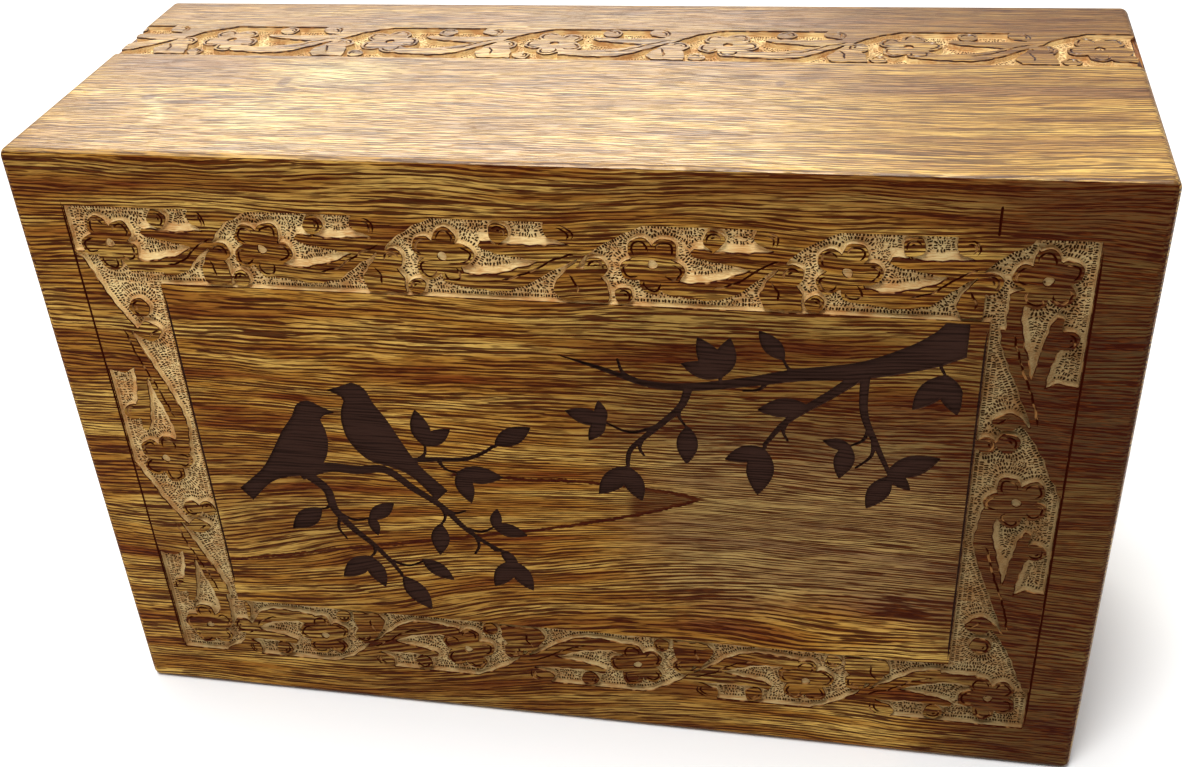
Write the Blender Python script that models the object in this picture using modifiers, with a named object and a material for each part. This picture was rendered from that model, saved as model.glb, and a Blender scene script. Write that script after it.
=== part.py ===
"""Cremation urn box of carved hardwood.

Five mitred boards make a hollow box with rounded outer edges. A plate fits into a rebate in the
underside and is held by four countersunk screws. The front board has a sunk floral border and a
shallow picture of two birds on a spray, and the top board has one floral band.

Metres, +Z up, origin at the middle of the underside. The front faces -Y.
"""

import math
from collections import Counter

import bmesh
import bpy
from mathutils import Matrix, Vector
from mathutils.geometry import delaunay_2d_cdt

MM = 0.001

# The box
WIDTH = 0.292
HEIGHT = 0.189
DEPTH = 0.115
WALL = 0.0125
EDGE_RADIUS = 0.0025
EDGE_SEGMENTS = 3
JOINT_GAP = 0.0003

# The plate in the underside and its screws
REBATE_WIDTH = 0.008
PLATE_THICKNESS = 0.006
PLATE_GAP = 0.0004
SCREW_INSET_X = 0.038
SCREW_LENGTH = 0.016
SCREW_SUNK = 0.0002
SCREW_SHANK = 0.003
SCREW_HEAD = 0.0055
SCREW_TIP = 0.003
SCREW_GAP = 0.0003
CROSS_LENGTH = 0.0032
CROSS_WIDTH = 0.0007
CROSS_DEPTH = 0.0009
ROUND_SIDES = 14

# The sunk border of the front
BORDER_WIDTH = 0.0228
BORDER_DEPTH = 0.0017
BORDER_MARGIN_SIDE = 0.015
BORDER_MARGIN_TOP = 0.0154
BORDER_MARGIN_BOTTOM = 0.015
# Where each side's flowers stand, clockwise from the upper left corner, as shares of the side
FLOWERS_ABOVE = (0, 0.18, 0.384, 0.609, 0.807)
FLOWERS_RIGHT = (0, 0.48)
FLOWERS_BELOW = (0, 0.216, 0.424, 0.644, 0.838)
FLOWERS_LEFT = (0, 0.48)

# The sunk band of the top
BAND_WIDTH = 0.024
BAND_FROM_BACK = 0.0344
BAND_PERIOD = 0.0495
BAND_FIRST_FLOWER = 0.0338
BAND_END = 0.002

# The picture on the front
PICTURE_DEPTH = 0.0007
PICTURE_GAP = 0.0005
PICTURE_RIGHT_GAP = 0.0045
PICTURE_DRAWN_HEIGHT = 114.7

# The carver's pattern, in millimetres at its drawn size: x runs along the band from the middle of
# a flower, and y runs outwards. The band reaches from PATTERN_IN to PATTERN_OUT.
PATTERN_WIDTH = 23.0
PATTERN_OUT = 10.9
PATTERN_IN = PATTERN_OUT - PATTERN_WIDTH
PATTERN_PERIOD = 48.64
PATTERN_SPILL = 2.0
STRETCH_AHEAD = 20.0
STRETCH_BEHIND = -9.0
TAIL_AHEAD = 13.0
TAIL_BEHIND = 8.5
SHARE_AHEAD = 0.6

PETALS = 5
PETAL_OUT = 5.1
PETAL_RADIUS = 3.4
PETAL_TURN = math.radians(62)
EYE_RADIUS = 1.35
EYE_DEPTH = 0.0006
BERRIES = ((15.2, 7.6, 2.6), (-13.4, -1.4, 2.9), (-7.5, -9.2, 2.3))
BERRIES_UPRIGHT = ((16.3, 6.6, 2.6), (-14.3, -4.0, 2.9), (-13.9, -9.2, 2.4))

CUT_MARGIN = 0.004
CDT_MERGE = 0.02
PATCH_RADIUS = 0.35
PATCH_ROUNDS = 4


def clear_scene():
    for old in list(bpy.data.objects):
        bpy.data.objects.remove(old, do_unlink=True)


def new_collection(name):
    made = bpy.data.collections.new(name)
    bpy.context.scene.collection.children.link(made)
    return made


def finish(name, color, roughness, metallic=0.0):
    material = bpy.data.materials.new(name)
    material.use_nodes = True
    shader = material.node_tree.nodes["Principled BSDF"]
    shader.inputs["Base Color"].default_value = (*color, 1)
    shader.inputs["Roughness"].default_value = roughness
    shader.inputs["Metallic"].default_value = metallic
    material.diffuse_color = (*color, 1)
    return material


def mesh_object(name, bm, collection, material=None):
    mesh = bpy.data.meshes.new(name)
    bm.to_mesh(mesh)
    bm.free()
    made = bpy.data.objects.new(name, mesh)
    collection.objects.link(made)
    if material:
        mesh.materials.append(material)
    return made


def block(name, low, high, collection, material=None):
    """A box between two corners."""
    bm = bmesh.new()
    bmesh.ops.create_cube(bm, size=1)
    size = Vector(high) - Vector(low)
    middle = (Vector(high) + Vector(low)) / 2
    bmesh.ops.scale(bm, vec=size, verts=bm.verts)
    bmesh.ops.translate(bm, vec=middle, verts=bm.verts)
    return mesh_object(name, bm, collection, material)


def hide_as_tool(obj):
    obj.hide_render = True
    obj.display_type = "WIRE"
    return obj


def boolean(obj, tool, operation="DIFFERENCE"):
    step = obj.modifiers.new(f"{operation.lower()} {tool.name}", "BOOLEAN")
    step.operation = operation
    step.object = tool
    step.solver = "EXACT"


def smooth_run(points, steps):
    """Points on a Catmull-Rom curve through the given ones, the last left out."""
    if len(points) == 2:
        return [Vector(points[0])]
    ends = [Vector(p) for p in points]
    ends = [2 * ends[0] - ends[1], *ends, 2 * ends[-1] - ends[-2]]
    made = []
    for a, b, c, d in zip(ends, ends[1:], ends[2:], ends[3:]):
        for i in range(steps):
            t = i / steps
            made.append(
                (2 * b + (c - a) * t + (2 * a - 5 * b + 4 * c - d) * t**2 + (3 * (b - c) + d - a) * t**3) / 2
            )
    return made


def closed_outline(runs, steps):
    """One closed outline from runs that meet at corners, each smooth between its ends."""
    return [point for run in runs for point in smooth_run(run, steps)]


def winds_round(spot, outline):
    """Whether an outline that may cross itself goes round a spot."""
    turns = 0
    for p, q in zip(outline, [*outline[1:], outline[0]]):
        side = (q[0] - p[0]) * (spot.y - p[1]) - (q[1] - p[1]) * (spot.x - p[0])
        if p[1] <= spot.y < q[1] and side > 0:
            turns += 1
        elif q[1] <= spot.y < p[1] and side < 0:
            turns -= 1
    return turns != 0


def layers_at(spot, layers):
    """The names of the layers with an outline over a spot."""
    return {
        name
        for name, outlines in layers.items()
        if any(low <= spot.x <= high and winds_round(spot, outline) for low, high, outline in outlines)
    }


def flat_region(layers, keep):
    """Corner points, and the faces between them where keep accepts the layers over a face."""
    points, edges = [], []
    for outline in [outline for outlines in layers.values() for outline in outlines]:
        start, count = len(points), len(outline)
        points += [Vector((p[0], p[1])) for p in outline]
        edges += [(start + i, start + (i + 1) % count) for i in range(count)]
    spots, _, faces, *_ = delaunay_2d_cdt(points, edges, [], 0, CDT_MERGE)
    spans = {
        layer: [(min(p[0] for p in o), max(p[0] for p in o), o) for o in outlines]
        for layer, outlines in layers.items()
    }
    kept = []
    for face in faces:
        middle = sum((spots[i] for i in face), Vector((0, 0))) / len(face)
        if keep(layers_at(middle, spans)):
            kept.append(face)
    return spots, kept


def pinched(faces):
    """The corners where a region only touches itself, with more than two border edges."""
    uses = Counter(frozenset(pair) for face in faces for pair in zip(face, [*face[1:], face[0]]))
    border = Counter(i for pair, count in uses.items() if count == 1 for i in pair)
    return [i for i, count in border.items() if count > 2]


def cut_prism(name, layers, keep, place, bottom, collection):
    """A cutter that stands on the flat region where keep accepts the layers that overlap there.

    layers maps a layer's name to its outlines, in millimetres on the plane of place, and keep gets
    the set of layer names over a spot. The prism reaches from bottom to above the plane. Where the
    region would only touch itself at a corner, a small patch opens it.
    """
    patches = []
    for _ in range(PATCH_ROUNDS):
        spots, faces = flat_region(
            {**layers, "patch": patches}, lambda over: "patch" in over or keep(over)
        )
        touching = pinched(faces)
        if not touching:
            break
        patches += [circle(spots[i], PATCH_RADIUS, 6) for i in touching]
    bm = bmesh.new()
    verts = [bm.verts.new((p.x * MM, p.y * MM, bottom)) for p in spots]
    for face in faces:
        bm.faces.new([verts[i] for i in face])
    bmesh.ops.delete(bm, geom=[v for v in bm.verts if not v.link_faces], context="VERTS")
    bmesh.ops.dissolve_limit(bm, angle_limit=math.radians(0.5), verts=bm.verts, edges=bm.edges)
    raised = bmesh.ops.extrude_face_region(bm, geom=bm.faces[:])["geom"]
    top = [v for v in raised if isinstance(v, bmesh.types.BMVert)]
    bmesh.ops.translate(bm, vec=(0, 0, CUT_MARGIN - bottom), verts=top)
    bmesh.ops.recalc_face_normals(bm, faces=bm.faces)
    made = mesh_object(name, bm, collection)
    made.matrix_world = place
    return hide_as_tool(made)


def circle(middle, radius, sides, turn=0.0):
    return [
        Vector(middle) + radius * Vector((math.cos(turn + a), math.sin(turn + a)))
        for a in (2 * math.pi * i / sides for i in range(sides))
    ]


# The carver's pattern


def pocket_runs(period, at_corner, upright):
    """The hollows round one flower: behind it, above the vine, in the leaf and under the stem.

    On an upright side of the border the hollow behind a flower is open to the panel, and the one
    above the vine is shorter.
    """
    out = PATTERN_OUT + PATTERN_SPILL
    low = PATTERN_IN - PATTERN_SPILL
    strip = PATTERN_IN + 1.1
    reach = ((-3, out), (-3, -2), (-8.2, -4), (-8.2, low)) if at_corner else ((2.5, out), (2.5, low))
    behind = (
        ((-17.5, -1.5), (-15.6, 1.2), (-12.6, 4.5), (-9.0, 7.3), (-4.6, 9.7), (reach[0][0], out)),
        *zip(reach, reach[1:]),
        (reach[-1], (-17.5, low)),
    )
    if upright:
        behind += (((-17.5, low), (-17.5, -8.6)), ((-17.5, -8.6), (-16.4, -5.0), (-17.5, -1.5)))
    else:
        behind += (
            ((-17.5, low), (-17.5, strip)),
            ((-17.5, strip), (-10.8, strip - 0.2)),
            ((-10.8, strip - 0.2), (-11.2, -6.4), (-13.4, -3.2), (-17.5, -1.5)),
        )
    above = (
        ((0, out), (27.4, out)),
        ((27.4, out), (25.4, 8.9), (26.4, 6.6)),
        ((26.4, 6.6), (32.0, 4.6)),
        ((32.0, 4.6), (20.0, 3.9), (11.0, 4.7), (5.0, 6.4), (0, 6.6)),
        ((0, 6.6), (0, out)),
    )
    if upright:
        above = (
            ((0, out), (25.7, out)),
            ((25.7, out), (24.9, 6.0), (25.9, 2.4)),
            ((25.9, 2.4), (22.0, 3.4), (19.0, 5.0)),
            ((19.0, 5.0), (13.0, 4.8), (7.0, 5.4), (0, 6.0)),
            ((0, 6.0), (0, out)),
        )
    leaf = (
        ((2.5, 7.5), (9.5, 7.5)),
        ((9.5, 7.5), (10.6, 5.2), (9.8, 3.5)),
        ((9.8, 3.5), (13.0, 2.0), (25.2, -0.3)),
        ((25.2, -0.3), (18.3, -3.5), (9.7, -5.2), (4.0, -4.2)),
        ((4.0, -4.2), (2.5, 7.5)),
    )
    ahead = period - 15.5
    if upright:
        tail = (((33.2, 1.9), (30.6, -2.4), (30.4, -6.4), (31.6, -8.6)), ((31.6, -8.6), (ahead, -8.6)))
    else:
        tail = (((33.2, 1.9), (28.9, -3.8), (27.0, -7.6), (28.4, strip)), ((28.4, strip), (ahead, strip)))
    under = (
        ((0, -7.6), (6.0, -8.6), (13.5, -9.4), (20.0, -8.0), (26.0, -3.6), (33.2, 1.9)),
        *tail,
        (tail[1][1], (ahead, low)),
        ((ahead, low), (0, low)),
        ((0, low), (0, -7.6)),
    )
    return behind, above, leaf, under


def stretched(point, extra):
    """Moves what lies ahead of the leaf or behind the flower, so that a unit fills its period."""
    x, y = point
    if x > STRETCH_AHEAD:
        x += extra * SHARE_AHEAD * (x - STRETCH_AHEAD) / TAIL_AHEAD
    if x < STRETCH_BEHIND:
        x += extra * (1 - SHARE_AHEAD) * (x - STRETCH_BEHIND) / TAIL_BEHIND
    return Vector((x, y))


def flower_outline(middle, turn):
    """Five round petals that run into each other."""
    points = []
    for k in range(PETALS):
        heading = turn + 2 * math.pi * k / PETALS
        petal = Vector(middle) + PETAL_OUT * Vector((math.cos(heading), math.sin(heading)))
        for share in (-0.34, -0.17, 0, 0.17, 0.34):
            a = heading + share * 2 * math.pi
            points.append(petal + PETAL_RADIUS * Vector((math.cos(a), math.sin(a))))
    return points


class Unit:
    """One flower with its vine, laid at a point of a face.

    ahead and behind are the directions of the band after and before the flower. They differ at a
    corner. scale is the size of a drawn millimetre, and extra the added length in drawn ones.
    """

    def __init__(self, middle, behind, ahead, scale, period_ahead, period_behind, index):
        self.middle = Vector(middle) / MM
        self.behind = Vector(behind)
        self.ahead = Vector(ahead)
        self.scale = scale / MM
        self.extra_ahead = period_ahead / scale - PATTERN_PERIOD
        self.extra_behind = period_behind / scale - PATTERN_PERIOD
        self.turn = PETAL_TURN + math.radians(9) * ((index * 7) % 5 - 2)

    def laid(self, point, along):
        out = Vector((-along.y, along.x))
        return self.middle + self.scale * (point[0] * along + point[1] * out)

    def place(self, runs, ahead, steps):
        along = self.ahead if ahead else self.behind
        extra = self.extra_ahead if ahead else self.extra_behind
        drawn = closed_outline(runs, steps)
        return [self.laid(stretched(p, extra), along) for p in drawn]

    def hollows(self, steps=1):
        at_corner = self.ahead != self.behind
        behind, *_ = pocket_runs(PATTERN_PERIOD, at_corner, self.behind.x == 0)
        _, above, leaf, under = pocket_runs(PATTERN_PERIOD, at_corner, self.ahead.x == 0)
        made = [self.place(behind, False, steps)]
        made += [self.place(runs, True, steps) for runs in (above, leaf, under)]
        if at_corner:
            reach = PATTERN_OUT + PATTERN_SPILL
            corner = ((-3, -3), (reach, -3), (reach, reach), (-3, reach))
            made.append([self.laid(p, self.behind) for p in corner])
        return made

    def islands(self, sides=6):
        made = [[self.laid(p, self.ahead) for p in flower_outline((0, 0), self.turn)]]
        for k in range(2 if self.ahead != self.behind else 3):
            along, extra = (self.behind, self.extra_behind) if k else (self.ahead, self.extra_ahead)
            x, y, radius = (BERRIES if along.x else BERRIES_UPRIGHT)[k]
            middle = stretched((x, y), extra)
            made.append([self.laid(p, along) for p in circle(middle, radius, sides, y)])
        return made

    def eye(self, sides=6):
        return [self.laid(p, self.ahead) for p in circle((0, 0), EYE_RADIUS, sides)]


RIGHT, DOWN, LEFT, UP = Vector((1, 0)), Vector((0, -1)), Vector((-1, 0)), Vector((0, 1))


def border_rectangles():
    """The border's outer and inner corners on the front, x and z."""
    low = Vector((-WIDTH / 2 + BORDER_MARGIN_SIDE, BORDER_MARGIN_BOTTOM))
    high = Vector((WIDTH / 2 - BORDER_MARGIN_SIDE, HEIGHT - BORDER_MARGIN_TOP))
    step = Vector((BORDER_WIDTH, BORDER_WIDTH))
    return low, high, low + step, high - step


def border_units():
    """The flowers of the border, clockwise from the upper left corner."""
    low, high, _, _ = border_rectangles()
    scale = BORDER_WIDTH / PATTERN_WIDTH
    inset = Vector((1, 1)) * PATTERN_OUT * scale
    near, far = low + inset, high - inset
    across, down = far.x - near.x, far.y - near.y
    sides = (
        (Vector((near.x, far.y)), RIGHT, across, FLOWERS_ABOVE),
        (Vector((far.x, far.y)), DOWN, down, FLOWERS_RIGHT),
        (Vector((far.x, near.y)), LEFT, across, FLOWERS_BELOW),
        (Vector((near.x, near.y)), UP, down, FLOWERS_LEFT),
    )
    made = []
    for side, (start, along, length, shares) in enumerate(sides):
        _, behind, length_before, shares_before = sides[side - 1]
        last = length_before * (1 - shares_before[-1])
        for share, following in zip(shares, (*shares[1:], 1)):
            period = length * (following - share)
            spot = start + along * length * share
            made.append(Unit(spot, behind, along, scale, period, last, len(made)))
            behind, last = along, period
    return made


def band_units():
    """The flowers of the top band, from the left, one past each end."""
    scale = BAND_WIDTH / PATTERN_WIDTH
    offset = (PATTERN_WIDTH / 2 - PATTERN_OUT) * scale
    y = DEPTH / 2 - BAND_FROM_BACK + offset
    count = math.ceil(WIDTH / BAND_PERIOD)
    return [
        Unit(
            (-WIDTH / 2 + BAND_FIRST_FLOWER + k * BAND_PERIOD, y),
            RIGHT, RIGHT, scale, BAND_PERIOD, BAND_PERIOD, k + 3,
        )
        for k in range(-1, count)
    ]


def in_mm(low, high):
    """The outline of an upright rectangle given in metres, in millimetres."""
    return [(x / MM, y / MM) for x, y in ((low.x, low.y), (high.x, low.y), (high.x, high.y), (low.x, high.y))]


def carving_tool(name, units, layers, place, collection):
    """What is cut away from a band: its hollows, less the flowers and berries, and all of its ends."""
    layers = {
        **layers,
        "hollow": [o for unit in units for o in unit.hollows()],
        "island": [o for unit in units for o in unit.islands()],
    }

    def is_cut(over):
        if "band" not in over or "panel" in over:
            return False
        return "end" in over or ("hollow" in over and "island" not in over)

    return cut_prism(name, layers, is_cut, place, -BORDER_DEPTH, collection)


def eyes_tool(name, units, place, collection):
    """The pits in the middle of the flowers."""
    layers = {"eye": [unit.eye() for unit in units]}
    return cut_prism(name, layers, lambda over: bool(over), place, -EYE_DEPTH, collection)


# The picture

# In millimetres at the drawn size. PERCH, DROP and RISE start from the panel's lower left corner,
# and the boughs from its upper right corner. Each stem has its points, the widths at its points or
# at its two ends, and its twigs. A twig has its share along the stem, its heading and length, and
# its leaves as (heading, length).
PERCH = (
    ((29.8, 52.0), (38.8, 55.6), (47.8, 55.4), (56.7, 56.2), (64.5, 50.1), (72.4, 44.2),
     (78.1, 37.3), (83.8, 32.3), (92.0, 27.4)),
    (3.8, 1.2),
    (
        (0.62, -97, 8, ((-97, 12.5),)),
        (0.64, 0, 7, ()),
        (0.76, 8, 10, ((80, 8), (-14, 11))),
        (0.82, -95, 8, ()),
        (0.90, -30, 5, ((-55, 8.5),)),
        (0.99, -75, 3, ((-122, 13), (-62, 13))),
    ),
)
DROP = (
    ((32.4, 52.3), (37.4, 47.3), (38.8, 40.1), (43.8, 33.0), (48.8, 28.0), (53.8, 21.6), (56.7, 16.6)),
    (3.4, 1.3),
    (
        (0.26, -140, 6, ((-140, 14),)),
        (0.36, -5, 11, ((38, 11), (-80, 8))),
        (0.38, -84, 10, ()),
        (0.68, -112, 6, ((-138, 14), (-72, 13))),
        (0.82, 4, 12, ((-38, 12),)),
        (0.99, -60, 2, ((-58, 15),)),
    ),
)
RISE = (
    ((62.0, 60.0), (71.8, 61.2), (80.8, 62.0), (86.3, 64.5), (89.8, 67.2)),
    (2.0, 1.0),
    (
        (0.12, 62, 7, ((98, 13), (36, 11))),
        (0.28, -36, 8, ((-2, 14), (-76, 12))),
        (0.99, 40, 2, ((32, 13),)),
    ),
)
BOUGH = (
    ((3.0, 3.0), (-9.5, -7.2), (-18.5, -11.9), (-30.5, -15.9), (-46.5, -18.3), (-59.5, -21.3),
     (-73.5, -23.7), (-85.5, -23.5), (-98.5, -19.2), (-109.3, -15.9)),
    (17.0, 10.0, 7.6, 5.2, 3.9, 3.1, 2.6, 2.1, 1.4, 0.4),
    (
        (0.11, -88, 10, ((-126, 14), (-72, 13))),
        (0.43, 140, 8, ((128, 11),)),
        (0.50, -150, 9, ()),
        (0.60, 108, 3, ((164, 12), (118, 14), (78, 13))),
        (0.80, 128, 9, ()),
    ),
)
BOUGH_LEFT = (
    ((-74.5, -24.5), (-77.0, -30.7), (-84.5, -38.7), (-90.5, -45.2), (-91.7, -50.2)),
    (2.4, 1.2),
    (
        (0.18, -80, 9, ((-92, 13),)),
        (0.45, 178, 16, ((165, 12), (98, 8), (-122, 9))),
        (0.62, -84, 6, ()),
        (0.99, -100, 2, ((-130, 14), (-70, 13))),
    ),
)
BOUGH_MIDDLE = (
    ((-30.5, -17.5), (-37.5, -23.7), (-44.5, -29.2), (-49.7, -34.2), (-54.3, -41.1)),
    (3.2, 1.2),
    (
        (0.42, -172, 2, ((-170, 13.5),)),
        (0.68, -88, 7, ()),
        (0.99, -110, 2, ((-158, 12), (-94, 16.5))),
    ),
)
BOUGH_RIGHT = (
    ((-29.0, -17.0), (-28.7, -28.7), (-25.0, -38.7), (-21.5, -46.7), (-19.5, -50.3)),
    (2.6, 0.8),
    (
        (0.36, -128, 9, ((-100, 12), (168, 8))),
        (0.44, -112, 12, ()),
        (0.72, -60, 2, ((24, 15), (-44, 9))),
        (0.80, -95, 2, ((-116, 13),)),
    ),
)

LEAF_WIDTH = 0.46
TWIG_WIDTHS = (1.3, 1.0, 0.7)
LEAF_OVERLAP = 1.0
TWIG_BEND = 0.35
# One perched bird that looks to +x, its feet at the origin, from the beak over the back.
BIRD = ((12.8, 22.4), (8.8, 24.2), (5.0, 26.0), (1.4, 24.4), (-0.8, 20.2), (-4.8, 14.6), (-9.2, 7.0),
        (-13.6, 0.4), (-22.0, -7.4), (-18.6, -11.8), (-11.6, -4.6), (-5.6, -2.0), (1.6, -0.4),
        (6.9, 5.0), (8.9, 11.2), (8.8, 16.2), (7.9, 19.4), (9.0, 21.0))
# Each bird's feet, 1 to look right or -1 to look left, and its lean.
BIRDS = (((31.6, 53.0), 1, 0.0), ((53.6, 59.6), -1, math.radians(5)))


def leaf_outline(stalk, heading, length):
    """A pointed leaf from inside its stalk's end to its tip."""
    along = Vector((math.cos(heading), math.sin(heading)))
    base = stalk - along * LEAF_OVERLAP
    side = Vector((-along.y, along.x))
    half = length * LEAF_WIDTH / 2
    shares = (0.26, 0.68)
    right = [base + along * length * t - side * half * math.sin(math.pi * t) for t in shares]
    left = [base + along * length * t + side * half * math.sin(math.pi * t) for t in reversed(shares)]
    return [base, *right, base + along * length, *left]


def stroke_outlines(points, widths):
    """A stroke along points as one outline for each stretch, with a width at each point."""
    right, left = [], []
    for i, (point, width) in enumerate(zip(points, widths)):
        along = (points[min(i + 1, len(points) - 1)] - points[max(i - 1, 0)]).normalized()
        side = Vector((-along.y, along.x))
        right.append(point - side * width / 2)
        left.append(point + side * width / 2)
    return [[a, b, c, d] for a, b, c, d in zip(right, right[1:], left[1:], left)]


def spray(stem, widths, twigs):
    """A stem with its twigs and leaves."""
    points = [Vector(p) for p in stem]
    steps = len(points) - 1
    if len(widths) == 2:
        first, last = widths
        widths = [first + (last - first) * i / steps for i in range(steps + 1)]
    made = stroke_outlines(points, widths)
    for share, heading, length, leaves in twigs:
        k = min(int(share * steps), steps - 1)
        start = points[k].lerp(points[k + 1], share * steps - k)
        heading = math.radians(heading)
        bend = TWIG_BEND if math.cos(heading) > 0 else -TWIG_BEND
        middle = start + length / 2 * Vector((math.cos(heading - bend), math.sin(heading - bend)))
        end = middle + length / 2 * Vector((math.cos(heading + bend), math.sin(heading + bend)))
        made += stroke_outlines([start, middle, end], TWIG_WIDTHS)
        made += [leaf_outline(end, math.radians(turn), size) for turn, size in leaves]
    return made


def bird_outline(feet, forward, lean):
    """The bird at its feet, forward 1 to look right and -1 to look left."""
    turned = Matrix.Rotation(lean, 2)
    points = [turned @ Vector(p) for p in BIRD]
    return [Vector(feet) + Vector((forward * p.x, p.y)) for p in points]


def picture_outlines():
    """All dark shapes of the picture, on the front's x and z in millimetres."""
    _, _, low, high = border_rectangles()
    low, high = low / MM, high / MM
    scale = (high.y - low.y) / PICTURE_DRAWN_HEIGHT
    near = [bird_outline(*bird) for bird in BIRDS]
    near += [o for stem in (PERCH, DROP, RISE) for o in spray(*stem)]
    far = [o for stem in (BOUGH, BOUGH_LEFT, BOUGH_MIDDLE, BOUGH_RIGHT) for o in spray(*stem)]
    made = [[low + scale * p for p in outline] for outline in near]
    made += [[high + scale * p for p in outline] for outline in far]
    return made


# The box


def board_region(name, side, collection):
    """The wedge that one board fills: its wall, mitred at 45 degrees to its neighbours."""
    half = Vector((WIDTH / 2, DEPTH / 2, HEIGHT / 2))
    axis = side.to_tuple()
    main = next(i for i in range(3) if axis[i])
    cut_back = JOINT_GAP / math.sqrt(2)
    bm = bmesh.new()
    bmesh.ops.create_cube(bm, size=2)
    for v in bm.verts:
        outside = v.co[main] * axis[main] > 0
        depth = -CUT_MARGIN if outside else WALL
        for i in range(3):
            if i == main:
                v.co[i] = axis[i] * (half[i] - depth)
            else:
                v.co[i] *= half[i] - depth - cut_back
        if main != 2 and v.co.z < 0:
            v.co.z = -half.z - CUT_MARGIN
        v.co.z += half.z
    return hide_as_tool(mesh_object(name + "_region", bm, collection))


def rounded_block(name, collection, material):
    made = block(name, (-WIDTH / 2, -DEPTH / 2, 0), (WIDTH / 2, DEPTH / 2, HEIGHT), collection, material)
    bevel = made.modifiers.new("rounded edges", "BEVEL")
    bevel.width = EDGE_RADIUS
    bevel.segments = EDGE_SEGMENTS
    bevel.limit_method = "ANGLE"
    return made


def rebate_tool(collection):
    """The recess in the underside that takes the plate."""
    x = WIDTH / 2 - WALL + REBATE_WIDTH
    y = DEPTH / 2 - WALL + REBATE_WIDTH
    top = PLATE_THICKNESS + JOINT_GAP
    return hide_as_tool(block("rebate", (-x, -y, -CUT_MARGIN), (x, y, top), collection))


def screw_spots():
    """The four screws, in the ledge of the front and back walls: name, x and y."""
    x = WIDTH / 2 - SCREW_INSET_X
    y = DEPTH / 2 - WALL + REBATE_WIDTH / 2
    return [
        (f"screw_{end}_{side}", sx * x, sy * y)
        for end, sy in (("front", -1), ("back", 1))
        for side, sx in (("left", -1), ("right", 1))
    ]


def turned(name, profile, x, y, collection, material=None):
    """A solid turned about a vertical axis from (radius, z) pairs, from its top down."""
    mesh = bpy.data.meshes.new(name)
    points = [(radius, 0, z) for radius, z in profile]
    mesh.from_pydata(points, [(i, i + 1) for i in range(len(points) - 1)], [])
    made = bpy.data.objects.new(name, mesh)
    made.location = (x, y, 0)
    collection.objects.link(made)
    if material:
        mesh.materials.append(material)
    step = made.modifiers.new("turned", "SCREW")
    step.axis = "Z"
    step.steps = step.render_steps = ROUND_SIDES
    step.use_merge_vertices = True
    step.merge_threshold = 0.00001
    return made


def screw_profile(gap):
    """A countersunk screw that points up, or its hole when there is a gap round it."""
    head, shank = SCREW_HEAD / 2 + gap, SCREW_SHANK / 2 + gap
    neck = SCREW_SUNK + head - shank
    tip = SCREW_SUNK + SCREW_LENGTH + gap
    upper = ((0, tip), (shank, tip - SCREW_TIP), (shank, neck), (head, SCREW_SUNK))
    foot = -CUT_MARGIN
    return (*upper, (head, foot), (0, foot)) if gap else (*upper, (0, SCREW_SUNK))


def make_screw(name, x, y, parts, tools, material):
    screw = turned(name, screw_profile(0), x, y, parts, material)
    half, thin = CROSS_LENGTH / 2, CROSS_WIDTH / 2
    top = SCREW_SUNK + CROSS_DEPTH
    for label, dx, dy in (("long", half, thin), ("wide", thin, half)):
        low, high = (x - dx, y - dy, -CUT_MARGIN), (x + dx, y + dy, top)
        boolean(screw, hide_as_tool(block(f"{name}_{label}", low, high, tools)))
    return screw


def make_front_carving(board, tools):
    place = Matrix.Translation((0, -DEPTH / 2, 0)) @ Matrix.Rotation(math.pi / 2, 4, "X")
    low, high, inner_low, inner_high = border_rectangles()
    units = border_units()
    layers = {"band": [in_mm(low, high)], "panel": [in_mm(inner_low, inner_high)]}
    boolean(board, carving_tool("border", units, layers, place, tools))
    boolean(board, eyes_tool("eyes", units, place, tools))

    window = in_mm(
        inner_low + Vector((PICTURE_GAP, PICTURE_GAP)),
        inner_high - Vector((PICTURE_RIGHT_GAP, PICTURE_GAP)),
    )
    layers = {"window": [window], "dark": picture_outlines()}
    boolean(board, cut_prism("picture", layers, lambda over: len(over) == 2, place, -PICTURE_DEPTH, tools))


def make_top_carving(board, ends, tools):
    """Cuts the band into the top board, and where it runs out into the boards at its ends."""
    place = Matrix.Translation((0, 0, HEIGHT))
    units = band_units()
    middle = Vector((0, DEPTH / 2 - BAND_FROM_BACK))
    past = WIDTH / 2 + CUT_MARGIN
    reach = Vector((past, BAND_WIDTH / 2))
    short = Vector((WIDTH / 2 - BAND_END, -BAND_WIDTH / 2))
    layers = {
        "band": [in_mm(middle - reach, middle + reach)],
        "end": [in_mm(middle + short, middle + reach), in_mm(middle - reach, middle - short)],
    }
    tool = carving_tool("band", units, layers, place, tools)
    for each in (board, *ends):
        boolean(each, tool)
    inside = [unit for unit in units if abs(unit.middle.x) * MM < WIDTH / 2]
    boolean(board, eyes_tool("band_eyes", inside, place, tools))


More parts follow.
